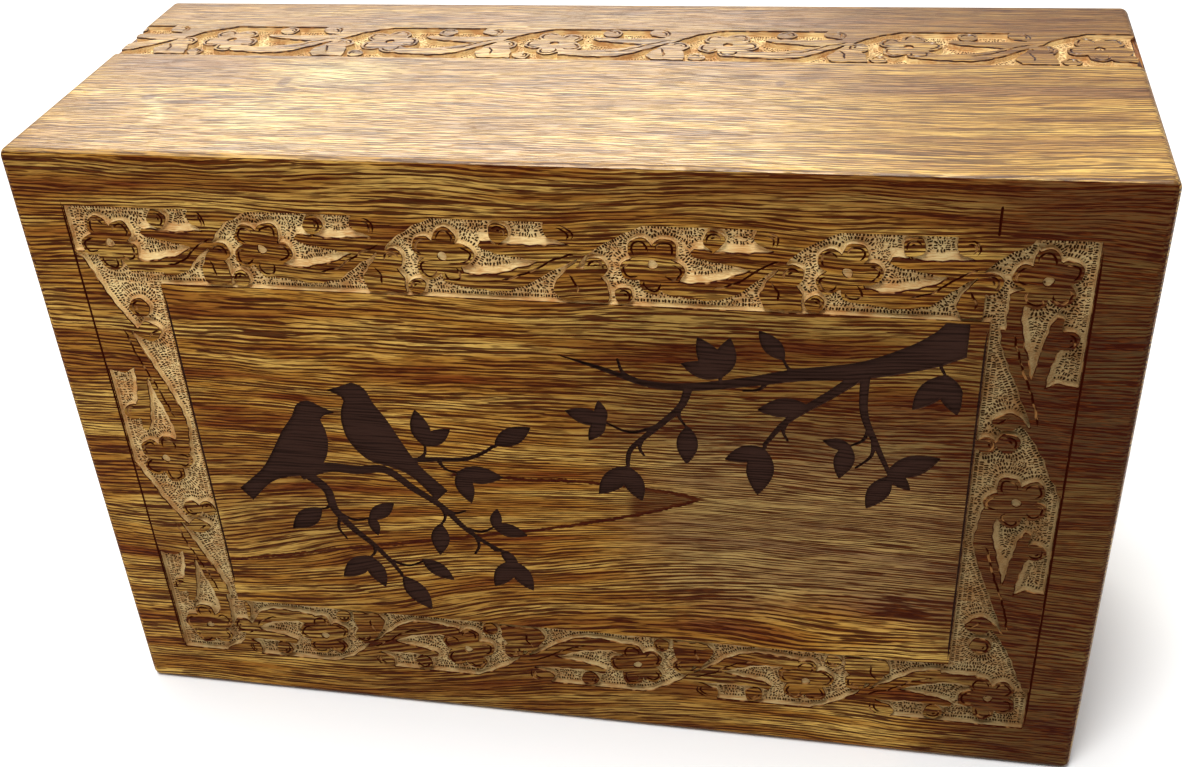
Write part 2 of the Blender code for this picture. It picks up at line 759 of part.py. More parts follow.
def main():
    clear_scene()
    parts = new_collection("urn_box")
    tools = new_collection("tools")
    wood = finish("stained_wood", (0.42, 0.24, 0.08), 0.45)
    steel = finish("steel", (0.55, 0.55, 0.56), 0.35, 1.0)

    rebate = rebate_tool(tools)
    boards = {}
    for name, side in (
        ("front_panel", (0, -1, 0)),
        ("back_panel", (0, 1, 0)),
        ("left_side", (-1, 0, 0)),
        ("right_side", (1, 0, 0)),
        ("top_panel", (0, 0, 1)),
    ):
        board = rounded_block(name, parts, wood)
        boolean(board, board_region(name, Vector(side), tools), "INTERSECT")
        if name != "top_panel":
            boolean(board, rebate)
        boards[name] = board

    x = WIDTH / 2 - WALL + REBATE_WIDTH - PLATE_GAP
    y = DEPTH / 2 - WALL + REBATE_WIDTH - PLATE_GAP
    plate = block("bottom_plate", (-x, -y, 0), (x, y, PLATE_THICKNESS), parts, wood)

    for name, x, y in screw_spots():
        make_screw(name, x, y, parts, tools, steel)
        hole = hide_as_tool(turned(name + "_hole", screw_profile(SCREW_GAP), x, y, tools))
        boolean(plate, hole)
        boolean(boards["front_panel" if y < 0 else "back_panel"], hole)

    make_front_carving(boards["front_panel"], tools)
    make_top_carving(boards["top_panel"], (boards["left_side"], boards["right_side"]), tools)


main()
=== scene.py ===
"""The looks of a carved hardwood urn box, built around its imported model.

Metres, +Z up, and the front faces -Y. Each board's outside is laid out flat in millimetres, gets its
carving as depths below the face, and is then wrapped over the box's rounded edges.
"""

import math
import random

import bmesh
import bpy
import numpy as np
from mathutils import Matrix, Vector
from mathutils.geometry import delaunay_2d_cdt


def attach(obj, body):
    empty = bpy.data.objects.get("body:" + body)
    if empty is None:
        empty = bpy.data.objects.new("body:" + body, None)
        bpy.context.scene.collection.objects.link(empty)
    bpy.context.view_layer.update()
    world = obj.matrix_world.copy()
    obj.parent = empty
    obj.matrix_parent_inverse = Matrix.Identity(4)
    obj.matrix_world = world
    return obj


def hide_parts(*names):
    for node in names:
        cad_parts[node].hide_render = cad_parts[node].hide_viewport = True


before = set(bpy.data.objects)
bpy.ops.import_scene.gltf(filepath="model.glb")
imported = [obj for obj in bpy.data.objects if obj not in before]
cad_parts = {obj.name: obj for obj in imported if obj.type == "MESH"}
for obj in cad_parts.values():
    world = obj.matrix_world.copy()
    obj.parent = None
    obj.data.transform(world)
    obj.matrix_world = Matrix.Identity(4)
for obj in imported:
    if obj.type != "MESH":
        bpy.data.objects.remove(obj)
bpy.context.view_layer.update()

MM = 0.001

# The box, in millimetres
WIDTH = 292.0
HEIGHT = 189.0
DEPTH = 115.0
WALL = 12.5
EDGE_RADIUS = 2.5
EDGE_ROWS = 6
# How far a rounded edge stops short of its mitre, as an angle
JOINT_TURN = 0.014

# What each board's piece is called. A screw's is called steel_ and the name of its node.
PIECES = {
    "front_panel": "carved_front",
    "back_panel": "plain_back",
    "left_side": "left_end",
    "right_side": "right_end",
    "top_panel": "carved_top",
    "bottom_plate": "underside_plate",
}

# An angle just past where every rounded edge meets its mitre
MOST_TURN = 0.8

# The plate in the underside and its screws
REBATE_WIDTH = 8.0
REBATE_DEPTH = 6.3
PLATE_THICKNESS = 6.0
PLATE_GAP = 0.4
SCREW_INSET_X = 38.0
SCREW_LENGTH = 16.0
SCREW_SUNK = 0.2
SCREW_SHANK = 3.0
SCREW_HEAD = 5.5
SCREW_TIP = 3.0
SCREW_GAP = 0.3
THREAD_TURNS = 11
THREAD_ROOT = 0.76
THREAD_EDGE = 0.45
TIP_BARE = 0.6
TIP_SHARE = 0.12
SHANK_BARE = 3.2
SHANK_ROOT = 0.78
NECK_START = 2.2
NECK_END = 0.2
HEAD_EASED = ((0.05, 0.12), (0.1, 0))
PLATE_EASED = 0.6
PAST = 2.0
CROSS_LENGTH = 3.2
CROSS_WIDTH = 0.7
CROSS_DEPTH = 0.9
ROUND_SIDES = 48

# The sunk border of the front
BORDER_WIDTH = 22.8
CARVED_DEPTH = 1.7
BORDER_MARGIN_SIDE = 15.0
BORDER_MARGIN_TOP = 15.4
BORDER_MARGIN_BOTTOM = 15.0
# Where each side's flowers stand, clockwise from the upper left corner, as shares of the side
FLOWERS_ABOVE = (0, 0.18, 0.384, 0.609, 0.807)
FLOWERS_RIGHT = (0, 0.48)
FLOWERS_BELOW = (0, 0.216, 0.424, 0.644, 0.838)
FLOWERS_LEFT = (0, 0.48)

# The sunk band of the top
BAND_WIDTH = 24.0
BAND_FROM_BACK = 34.4
BAND_PERIOD = 49.5
BAND_FIRST_FLOWER = 33.8
BAND_END = 2.0
BAND_CLEAR = 5.0
NOTCH_STEPS = 16

# The picture on the front
PICTURE_DEPTH = 0.65
PICTURE_GAP = 0.5
PICTURE_RIGHT_GAP = 4.5
PICTURE_DRAWN_HEIGHT = 114.7
PICTURE_WALL = 0.16

# The carver's pattern: x runs along the band from the middle of a flower, and y runs outwards
PATTERN_WIDTH = 23.0
PATTERN_OUT = 10.9
PATTERN_IN = PATTERN_OUT - PATTERN_WIDTH
PATTERN_PERIOD = 48.64
PATTERN_SPILL = 2.0
STRIP_WIDTH = 1.1
STRETCH_AHEAD = 20.0
STRETCH_BEHIND = -9.0
TAIL_AHEAD = 13.0
TAIL_BEHIND = 8.5
SHARE_AHEAD = 0.6
PETALS = 5
PETAL_OUT = 5.3
PETAL_RADIUS = 3.05
PETAL_LINE = 0.68
FLOWER_HEART = 3.7
PETAL_TURN = math.radians(62)
PETAL_VARIES = math.radians(9)
EYE_RADIUS = 1.35
EYE_DEPTH = 0.6
BERRIES = ((15.2, 7.6, 2.6), (-13.4, -1.4, 2.9), (-7.5, -9.2, 2.3))
BERRIES_UPRIGHT = ((16.3, 6.6, 2.6), (-14.3, -4.0, 2.9), (-13.9, -9.2, 2.4))
# The fine cuts: in a berry, as shares of its radius and turns back and forth, and of a bud and a vine
BERRY_LINES = ((0.68, 1.9, 1.5, 12), (0.3, 1.1, 0.8, 6))
BUD = (28.6, 7.4)
BUD_LINES = ((2.8, -2.2, 1.7), (1.8, -1.6, 1.9))
VINE_LINES = (
    ((15.0, -6.2), (21.0, -4.2), (27.5, 0.4), (33.0, 3.0)),
    ((29.0, -1.4), (31.5, -6.0), (31.8, -9.2)),
)
NICK_START = 3.3
NICK_LENGTH = 2.9
NICK_STEPS = 5
RUN_STEPS = 8
PETAL_SIDES = 26
HEART_SIDES = 24
BERRY_SIDES = 28

# How finely the meshes follow the carving
FIELD_STEP = 0.32
FIELD_REACH = 5.0
PICTURE_STEP = 0.3
SLOPE_STEP = 0.5
CONTOUR_MISS = 0.025
CELL = 0.4
EDGE_SNAP = 0.006
MERGE = 0.004
WELD = 0.002
ON_EDGE = 1e-4
SHARP = 35
SHARP_SMALL = 30
TINY = 1e-9
PLAIN_SPACING = 9.0
CARVED_SPACING = 8.0
PLAIN_CLEAR = 1.2
SCRIBED_STEPS = 40
EYE_RINGS = ((0.86, EYE_DEPTH), (0.45, EYE_DEPTH + 0.08))

# The carved ground: its steep walls, the broad slopes of the leaves, and how uneven it is
WALL_RUN = 0.32
LEAF_SLOPE = 2.6
SLOPE_START = 0.25
GROUND_RISE = 0.06
GROUND_CHATTER = 0.07
GROUND_STEP = 0.9
GROUND_SCATTER = 0.15
GROUND_CLEAR = 0.2
GROUND_REACH = 0.3
WOBBLE = 0.16

# The short ticks of a gouge in the ground, in rows at these distances from its edge
TICK_ROWS = (1.02, 2.3, 3.55, 4.8)
TICK_PITCH = 0.8
TICK_LENGTH = 1.34
TICK_WIDTH = 0.66
TICK_DEPTH = 0.5
TICK_BELLY = 0.26
TICK_TURN = 0.25
TICK_SPREAD = (0.85, 1.15)
TICK_SHARES = (1.0, 0.65)
TICK_CLEAR = 0.03
SLOPE_CLEAR = 0.8

# The fine V cuts in the wood that stands
GROOVE_WIDTH = 0.74
GROOVE_DEPTH = 0.4
GROOVE_END = 0.15
GROOVE_CLEAR = 0.1
GROOVE_LEAST = 4
NICK_WIDTH = 1.0
SCRIBED_WIDTH = 0.8
SCRIBED_OFF = 0.35


# Curves and outlines, in millimetres on a face laid flat


def smooth_run(points, steps):
    """Points on a Catmull-Rom curve through the given ones, the last left out."""
    if len(points) == 2:
        a, b = Vector(points[0]), Vector(points[1])
        return [a.lerp(b, i / steps) for i in range(steps)]
    ends = [Vector(p) for p in points]
    ends = [2 * ends[0] - ends[1], *ends, 2 * ends[-1] - ends[-2]]
    made = []
    for a, b, c, d in zip(ends, ends[1:], ends[2:], ends[3:]):
        for i in range(steps):
            t = i / steps
            made.append(
                (2 * b + (c - a) * t + (2 * a - 5 * b + 4 * c - d) * t**2 + (3 * (b - c) + d - a) * t**3) / 2
            )
    return made


def closed_outline(runs, steps):
    return [point for run in runs for point in smooth_run(run, steps)]


def circle(middle, radius, sides, turn=0.0):
    return [
        Vector(middle) + radius * Vector((math.cos(turn + a), math.sin(turn + a)))
        for a in (2 * math.pi * i / sides for i in range(sides))
    ]


def arc(middle, radius, start, end, steps=14):
    turns = [start + (end - start) * i / steps for i in range(steps + 1)]
    return [Vector(middle) + radius * Vector((math.cos(a), math.sin(a))) for a in turns]


def by_hand(point):
    """A point moved a little, as a carver's hand does."""
    x, y = point
    return Vector((
        x + WOBBLE * (math.sin(1.7 * y + 0.31 * x) + 0.6 * math.sin(0.83 * y - 2.1)),
        y + WOBBLE * (math.sin(1.5 * x - 0.27 * y) + 0.6 * math.sin(0.71 * x + 0.9)),
    ))


# The carver's pattern


def pocket_runs(at_corner, upright):
    """The hollows round one flower: behind it, above the vine, in the leaf and under the stem.

    On an upright side of the border the hollow behind a flower is open to the panel, and the one
    above the vine is shorter.
    """
    out = PATTERN_OUT + PATTERN_SPILL
    low = PATTERN_IN - PATTERN_SPILL
    strip = PATTERN_IN + STRIP_WIDTH
    reach = ((-3, out), (-3, -2), (-8.2, -4), (-8.2, low)) if at_corner else ((2.5, out), (2.5, low))
    behind = (
        ((-17.5, -1.5), (-15.6, 1.2), (-12.6, 4.5), (-9.0, 7.3), (-4.6, 9.7), (reach[0][0], out)),
        *zip(reach, reach[1:]),
        (reach[-1], (-17.5, low)),
    )
    if upright:
        behind += (((-17.5, low), (-17.5, -8.6)), ((-17.5, -8.6), (-16.4, -5.0), (-17.5, -1.5)))
    else:
        behind += (
            ((-17.5, low), (-17.5, strip)),
            ((-17.5, strip), (-10.8, strip - 0.2)),
            ((-10.8, strip - 0.2), (-11.2, -6.4), (-13.4, -3.2), (-17.5, -1.5)),
        )
    if upright:
        above = (
            ((0, out), (25.7, out)),
            ((25.7, out), (24.9, 6.0), (25.9, 2.4)),
            ((25.9, 2.4), (22.0, 3.4), (19.0, 5.0)),
            ((19.0, 5.0), (13.0, 4.8), (7.0, 5.4), (0, 6.0)),
            ((0, 6.0), (0, out)),
        )
    else:
        above = (
            ((0, out), (27.4, out)),
            ((27.4, out), (25.4, 8.9), (26.4, 6.6)),
            ((26.4, 6.6), (32.0, 4.6)),
            ((32.0, 4.6), (20.0, 3.9), (11.0, 4.7), (5.0, 6.4), (0, 6.6)),
            ((0, 6.6), (0, out)),
        )
    leaf = (
        ((2.5, 7.5), (9.5, 7.5)),
        ((9.5, 7.5), (10.6, 5.2), (9.8, 3.5)),
        ((9.8, 3.5), (13.0, 2.0), (25.2, -0.3)),
        ((25.2, -0.3), (18.3, -3.5), (9.7, -5.2), (4.0, -4.2)),
        ((4.0, -4.2), (2.5, 7.5)),
    )
    ahead = PATTERN_PERIOD - 15.5
    if upright:
        tail = (((33.2, 1.9), (30.6, -2.4), (30.4, -6.4), (31.6, -8.6)), ((31.6, -8.6), (ahead, -8.6)))
    else:
        tail = (((33.2, 1.9), (28.9, -3.8), (27.0, -7.6), (28.4, strip)), ((28.4, strip), (ahead, strip)))
    under = (
        ((0, -7.6), (6.0, -8.6), (13.5, -9.4), (20.0, -8.0), (26.0, -3.6), (33.2, 1.9)),
        *tail,
        (tail[1][1], (ahead, low)),
        ((ahead, low), (0, low)),
        ((0, low), (0, -7.6)),
    )
    return behind, above, leaf, under


def stretched(point, extra):
    """Moves what lies ahead of the leaf or behind the flower, so that a unit fills its period."""
    x, y = point
    if x > STRETCH_AHEAD:
        x += extra * SHARE_AHEAD * (x - STRETCH_AHEAD) / TAIL_AHEAD
    if x < STRETCH_BEHIND:
        x += extra * (1 - SHARE_AHEAD) * (x - STRETCH_BEHIND) / TAIL_BEHIND
    return Vector((x, y))


def around(turn):
    """The directions of a flower's petals."""
    return [turn + 2 * math.pi * k / PETALS for k in range(PETALS)]


def toward(heading, distance):
    return distance * Vector((math.cos(heading), math.sin(heading)))


def flower_outlines(turn):
    """Five round petals round a heart."""
    petals = [circle(toward(heading, PETAL_OUT), PETAL_RADIUS, PETAL_SIDES) for heading in around(turn)]
    return [circle((0, 0), FLOWER_HEART, HEART_SIDES), *petals]


class Unit:
    """One flower with its vine, laid at a point of a face.

    ahead and behind are the directions of the band after and before the flower. They differ at a
    corner. scale is the size of a drawn millimetre, and the periods are in millimetres.
    """

    def __init__(self, middle, behind, ahead, scale, period_ahead, period_behind, index):
        self.middle = Vector(middle)
        self.behind = Vector(behind)
        self.ahead = Vector(ahead)
        self.scale = scale
        self.extra_ahead = period_ahead / scale - PATTERN_PERIOD
        self.extra_behind = period_behind / scale - PATTERN_PERIOD
        self.turn = PETAL_TURN + PETAL_VARIES * ((index * 7) % 5 - 2)
        self.at_corner = self.ahead != self.behind

    def laid(self, point, along):
        out = Vector((-along.y, along.x))
        return by_hand(self.middle + self.scale * (point[0] * along + point[1] * out))

    def place(self, drawn, ahead):
        along = self.ahead if ahead else self.behind
        extra = self.extra_ahead if ahead else self.extra_behind
        return [self.laid(stretched(p, extra), along) for p in drawn]

    def pockets(self):
        behind, *_ = pocket_runs(self.at_corner, self.behind.x == 0)
        return behind, *pocket_runs(self.at_corner, self.ahead.x == 0)[1:]

    def hollows(self):
        behind, above, leaf, under = self.pockets()
        made = [self.place(closed_outline(behind, RUN_STEPS), False)]
        made += [self.place(closed_outline(runs, RUN_STEPS), True) for runs in (above, leaf, under)]
        if self.at_corner:
            reach = PATTERN_OUT + PATTERN_SPILL
            corner = ((-3, -3), (reach, -3), (reach, reach), (-3, reach))
            made.append([self.laid(p, self.behind) for p in corner])
        return made

    def slopes(self):
        """The walls cut as one broad slope: the leaf's lower side and the vine's upper edge."""
        _, above, leaf, _ = self.pockets()
        runs = (leaf[3], above[2] if self.ahead.x == 0 else above[3][:3])
        return [self.place(smooth_run(run, RUN_STEPS), True) for run in runs]

    def berries(self):
        """Each berry as its middle, radius and the direction of its band."""
        made = []
        for k in range(2 if self.at_corner else 3):
            along, extra = (self.behind, self.extra_behind) if k else (self.ahead, self.extra_ahead)
            x, y, radius = (BERRIES if along.x else BERRIES_UPRIGHT)[k]
            made.append((self.laid(stretched((x, y), extra), along), radius * self.scale, along))
        return made

    def islands(self):
        made = [[self.laid(p, self.ahead) for p in o] for o in flower_outlines(self.turn)]
        for spot, radius, _ in self.berries():
            made.append([by_hand(p) for p in circle(spot, radius, BERRY_SIDES)])
        return made

    def eye(self):
        return [self.laid(p, self.ahead) for p in circle((0, 0), EYE_RADIUS, HEART_SIDES)]

    def nicks(self):
        """Short deep cuts between the petals."""
        made = []
        for heading in around(self.turn + math.pi / PETALS):
            steps = [NICK_START + NICK_LENGTH * i / NICK_STEPS for i in range(NICK_STEPS + 1)]
            made.append([self.laid(toward(heading, step), self.ahead) for step in steps])
        return made

    def grooves(self, rng):
        """Fine cuts that draw the petals, the berries and the vein of the vine."""
        made = []
        for heading in around(self.turn):
            petal = toward(heading, PETAL_OUT + 0.1)
            start = heading - math.radians(rng.uniform(90, 150))
            end = heading + math.radians(rng.uniform(90, 150))
            line = arc(petal, PETAL_RADIUS * PETAL_LINE, start, end)
            made.append([self.laid(p, self.ahead) for p in line])
        for spot, radius, along in self.berries():
            facing = math.atan2(along.y, along.x) + math.radians(rng.uniform(20, 160))
            for share, back, forth, steps in BERRY_LINES:
                made.append(arc(spot, radius * share, facing - back, facing + forth, steps))
        if self.ahead.x:
            made += [self.place(arc(BUD, *line, 12), True) for line in BUD_LINES]
        made += [self.place(smooth_run(run, RUN_STEPS), True) for run in VINE_LINES]
        return made


RIGHT, DOWN, LEFT, UP = Vector((1, 0)), Vector((0, -1)), Vector((-1, 0)), Vector((0, 1))


def border_rectangles():
    """The border's outer and inner corners on the front."""
    low = Vector((-WIDTH / 2 + BORDER_MARGIN_SIDE, BORDER_MARGIN_BOTTOM))
    high = Vector((WIDTH / 2 - BORDER_MARGIN_SIDE, HEIGHT - BORDER_MARGIN_TOP))
    step = Vector((BORDER_WIDTH, BORDER_WIDTH))
    return low, high, low + step, high - step


def scribed_lines():
    """The carver's upright layout lines on the front, each as x and the heights of its ends."""
    low, high, inner_low, inner_high = border_rectangles()
    return (
        (low.x - SCRIBED_OFF, low.y - 1, high.y + 3),
        (inner_low.x + SCRIBED_OFF, inner_low.y + 6, inner_high.y - 1),
        (inner_high.x - SCRIBED_OFF, inner_low.y + 1, inner_high.y - 1),
        (inner_high.x - SCRIBED_OFF, high.y + 0.4, high.y + 8.3),
        (high.x + SCRIBED_OFF, low.y, high.y - 0.5),
    )


def border_units():
    """The flowers of the border, clockwise from the upper left corner."""
    low, high, _, _ = border_rectangles()
    scale = BORDER_WIDTH / PATTERN_WIDTH
    inset = Vector((1, 1)) * PATTERN_OUT * scale
    near, far = low + inset, high - inset
    across, down = far.x - near.x, far.y - near.y
    sides = (
        (Vector((near.x, far.y)), RIGHT, across, FLOWERS_ABOVE),
        (Vector((far.x, far.y)), DOWN, down, FLOWERS_RIGHT),
        (Vector((far.x, near.y)), LEFT, across, FLOWERS_BELOW),
        (Vector((near.x, near.y)), UP, down, FLOWERS_LEFT),
    )
    made = []
    for side, (start, along, length, shares) in enumerate(sides):
        _, behind, length_before, shares_before = sides[side - 1]
        last = length_before * (1 - shares_before[-1])
        for share, following in zip(shares, (*shares[1:], 1)):
            period = length * (following - share)
            spot = start + along * length * share
            made.append(Unit(spot, behind, along, scale, period, last, len(made)))
            behind, last = along, period
    return made


def band_units():
    """The flowers of the top band, from the left, one past each end."""
    scale = BAND_WIDTH / PATTERN_WIDTH
    y = DEPTH / 2 - BAND_FROM_BACK + (PATTERN_WIDTH / 2 - PATTERN_OUT) * scale
    return [
        Unit(
            (-WIDTH / 2 + BAND_FIRST_FLOWER + k * BAND_PERIOD, y),
            RIGHT, RIGHT, scale, BAND_PERIOD, BAND_PERIOD, k + 3,
        )
        for k in range(-1, math.ceil(WIDTH / BAND_PERIOD))
    ]


# The picture's shapes

# PERCH, DROP and RISE start from the panel's lower left corner, and the boughs from its upper right
# corner. Each stem has its points, the widths at its points or at its two ends, and its twigs. A
# twig has its share along the stem, its heading and length, and its leaves as (heading, length).
PERCH = (
    ((29.8, 52.0), (38.8, 55.6), (47.8, 55.4), (56.7, 56.2), (64.5, 50.1), (72.4, 44.2),
     (78.1, 37.3), (83.8, 32.3), (92.0, 27.4)),
    (3.8, 1.2),
    (
        (0.62, -97, 8, ((-97, 12.5),)),
        (0.64, 0, 7, ()),
        (0.76, 8, 10, ((80, 8), (-14, 11))),
        (0.82, -95, 8, ()),
        (0.90, -30, 5, ((-55, 8.5),)),
        (0.99, -75, 3, ((-122, 13), (-62, 13))),
    ),
)
DROP = (
    ((32.4, 52.3), (37.4, 47.3), (38.8, 40.1), (43.8, 33.0), (48.8, 28.0), (53.8, 21.6), (56.7, 16.6)),
    (3.4, 1.3),
    (
        (0.26, -140, 6, ((-140, 14),)),
        (0.36, -5, 11, ((38, 11), (-80, 8))),
        (0.38, -84, 10, ()),
        (0.68, -112, 6, ((-138, 14), (-72, 13))),
        (0.82, 4, 12, ((-38, 12),)),
        (0.99, -60, 2, ((-58, 15),)),
    ),
)
RISE = (
    ((62.0, 60.0), (71.8, 61.2), (80.8, 62.0), (86.3, 64.5), (89.8, 67.2)),
    (2.0, 1.0),
    (
        (0.12, 62, 7, ((98, 13), (36, 11))),
        (0.28, -36, 8, ((-2, 14), (-76, 12))),
        (0.99, 40, 2, ((32, 13),)),
    ),
)
BOUGH = (
    ((3.0, 3.0), (-9.5, -7.2), (-18.5, -11.9), (-30.5, -15.9), (-46.5, -18.3), (-59.5, -21.3),
     (-73.5, -23.7), (-85.5, -23.5), (-98.5, -19.2), (-109.3, -15.9)),
    (17.0, 10.0, 7.6, 5.2, 3.9, 3.1, 2.6, 2.1, 1.4, 0.4),
    (
        (0.11, -88, 10, ((-126, 14), (-72, 13))),
        (0.43, 140, 8, ((128, 11),)),
        (0.50, -150, 9, ()),
        (0.60, 108, 3, ((164, 12), (118, 14), (78, 13))),
        (0.80, 128, 9, ()),
    ),
)
BOUGH_LEFT = (
    ((-74.5, -24.5), (-77.0, -30.7), (-84.5, -38.7), (-90.5, -45.2), (-91.7, -50.2)),
    (2.4, 1.2),
    (
        (0.18, -80, 9, ((-92, 13),)),
        (0.45, 178, 16, ((165, 12), (98, 8), (-122, 9))),
        (0.62, -84, 6, ()),
        (0.99, -100, 2, ((-130, 14), (-70, 13))),
    ),
)
BOUGH_MIDDLE = (
    ((-30.5, -17.5), (-37.5, -23.7), (-44.5, -29.2), (-49.7, -34.2), (-54.3, -41.1)),
    (3.2, 1.2),
    (
        (0.42, -172, 2, ((-170, 13.5),)),
        (0.68, -88, 7, ()),
        (0.99, -110, 2, ((-158, 12), (-94, 16.5))),
    ),
)
BOUGH_RIGHT = (
    ((-29.0, -17.0), (-28.7, -28.7), (-25.0, -38.7), (-21.5, -46.7), (-19.5, -50.3)),
    (2.6, 0.8),
    (
        (0.36, -128, 9, ((-100, 12), (168, 8))),
        (0.44, -112, 12, ()),
        (0.72, -60, 2, ((24, 15), (-44, 9))),
        (0.80, -95, 2, ((-116, 13),)),
    ),
)
LEAF_WIDTH = 0.46
LEAF_OVERLAP = 1.0
LEAF_STEPS = 14
LEAF_FULLNESS = 0.9
TWIG_WIDTHS = (1.3, 1.0, 0.7)
TWIG_BEND = 0.35
# One perched bird that looks to +x, its feet at the origin, from the beak over the back.
BIRD = ((12.8, 22.4), (8.8, 24.2), (5.0, 26.0), (1.4, 24.4), (-0.8, 20.2), (-4.8, 14.6), (-9.2, 7.0),
        (-13.6, 0.4), (-22.0, -7.4), (-18.6, -11.8), (-11.6, -4.6), (-5.6, -2.0), (1.6, -0.4),
        (6.9, 5.0), (8.9, 11.2), (8.8, 16.2), (7.9, 19.4), (9.0, 21.0))
BIRD_CORNERS = (0, 8, 9, 17)
# Each bird's feet, 1 to look right or -1 to look left, and its lean.
BIRDS = (((31.6, 53.0), 1, 0.0), ((53.6, 59.6), -1, math.radians(5)))


def leaf_outline(stalk, heading, length):
    """A pointed leaf from inside its stalk's end to its tip."""
    along = Vector((math.cos(heading), math.sin(heading)))
    base = stalk - along * LEAF_OVERLAP
    side = Vector((-along.y, along.x))
    half = length * LEAF_WIDTH / 2
    shares = [i / LEAF_STEPS for i in range(LEAF_STEPS + 1)]
    bulge = [half * math.sin(math.pi * t**LEAF_FULLNESS) ** LEAF_FULLNESS for t in shares]
    right, left = (
        [base + along * length * t + turn * side * b for t, b in zip(shares, bulge)] for turn in (-1, 1)
    )
    return right + left[-2:0:-1]


def stroke_outline(points, widths, steps=RUN_STEPS):
    """A stroke along points as one outline, with a width at each point."""
    path = smooth_run(points, steps) + [Vector(points[-1])]
    right, left = [], []
    for i, point in enumerate(path):
        along = (path[min(i + 1, len(path) - 1)] - path[max(i - 1, 0)]).normalized()
        side = Vector((-along.y, along.x))
        k, part = divmod(i, steps)
        width = widths[k] if k + 1 >= len(widths) else widths[k] + (widths[k + 1] - widths[k]) * part / steps
        right.append(point - side * width / 2)
        left.append(point + side * width / 2)
    return right + left[::-1]


def spray(stem, widths, twigs):
    """A stem with its twigs and leaves."""
    points = [Vector(p) for p in stem]
    steps = len(points) - 1
    if len(widths) == 2:
        first, last = widths
        widths = [first + (last - first) * i / steps for i in range(steps + 1)]
    made = [stroke_outline(points, widths)]
    for share, heading, length, leaves in twigs:
        k = min(int(share * steps), steps - 1)
        start = points[k].lerp(points[k + 1], share * steps - k)
        heading = math.radians(heading)
        bend = TWIG_BEND if math.cos(heading) > 0 else -TWIG_BEND
        middle = start + length / 2 * Vector((math.cos(heading - bend), math.sin(heading - bend)))
        end = middle + length / 2 * Vector((math.cos(heading + bend), math.sin(heading + bend)))
        made.append(stroke_outline([start, middle, end], TWIG_WIDTHS))
        made += [leaf_outline(end, math.radians(turn), size) for turn, size in leaves]
    return made


def bird_outline(feet, forward, lean):
    """The bird at its feet, forward 1 to look right and -1 to look left."""
    turned = Matrix.Rotation(lean, 2)
    corners = [*BIRD_CORNERS, len(BIRD)]
    loop = [*BIRD, BIRD[0]]
    drawn = closed_outline([loop[a : b + 1] for a, b in zip(corners, corners[1:])], 5)
    points = [turned @ p for p in drawn]
    return [Vector(feet) + Vector((forward * p.x, p.y)) for p in points]


def picture_outlines():
    """All dark shapes of the picture, on the front."""
    _, _, low, high = border_rectangles()
    scale = (high.y - low.y) / PICTURE_DRAWN_HEIGHT
    near = [bird_outline(*bird) for bird in BIRDS]
    near += [o for stem in (PERCH, DROP, RISE) for o in spray(*stem)]
    far = [o for stem in (BOUGH, BOUGH_LEFT, BOUGH_MIDDLE, BOUGH_RIGHT) for o in spray(*stem)]
    made = [[low + scale * p for p in outline] for outline in near]
    made += [[high + scale * p for p in outline] for outline in far]
    return made


# Distance fields: how far inside a shape each point of a grid lies


def squared_distance(x, y, a, b):
    """The square of the distance from each point of a grid to the line between a and b."""
    dx, dy = b[0] - a[0], b[1] - a[1]
    part = np.clip(((x - a[0]) * dx + (y - a[1]) * dy) / max(dx * dx + dy * dy, TINY), 0, 1)
    return (x - a[0] - part * dx) ** 2 + (y - a[1] - part * dy) ** 2


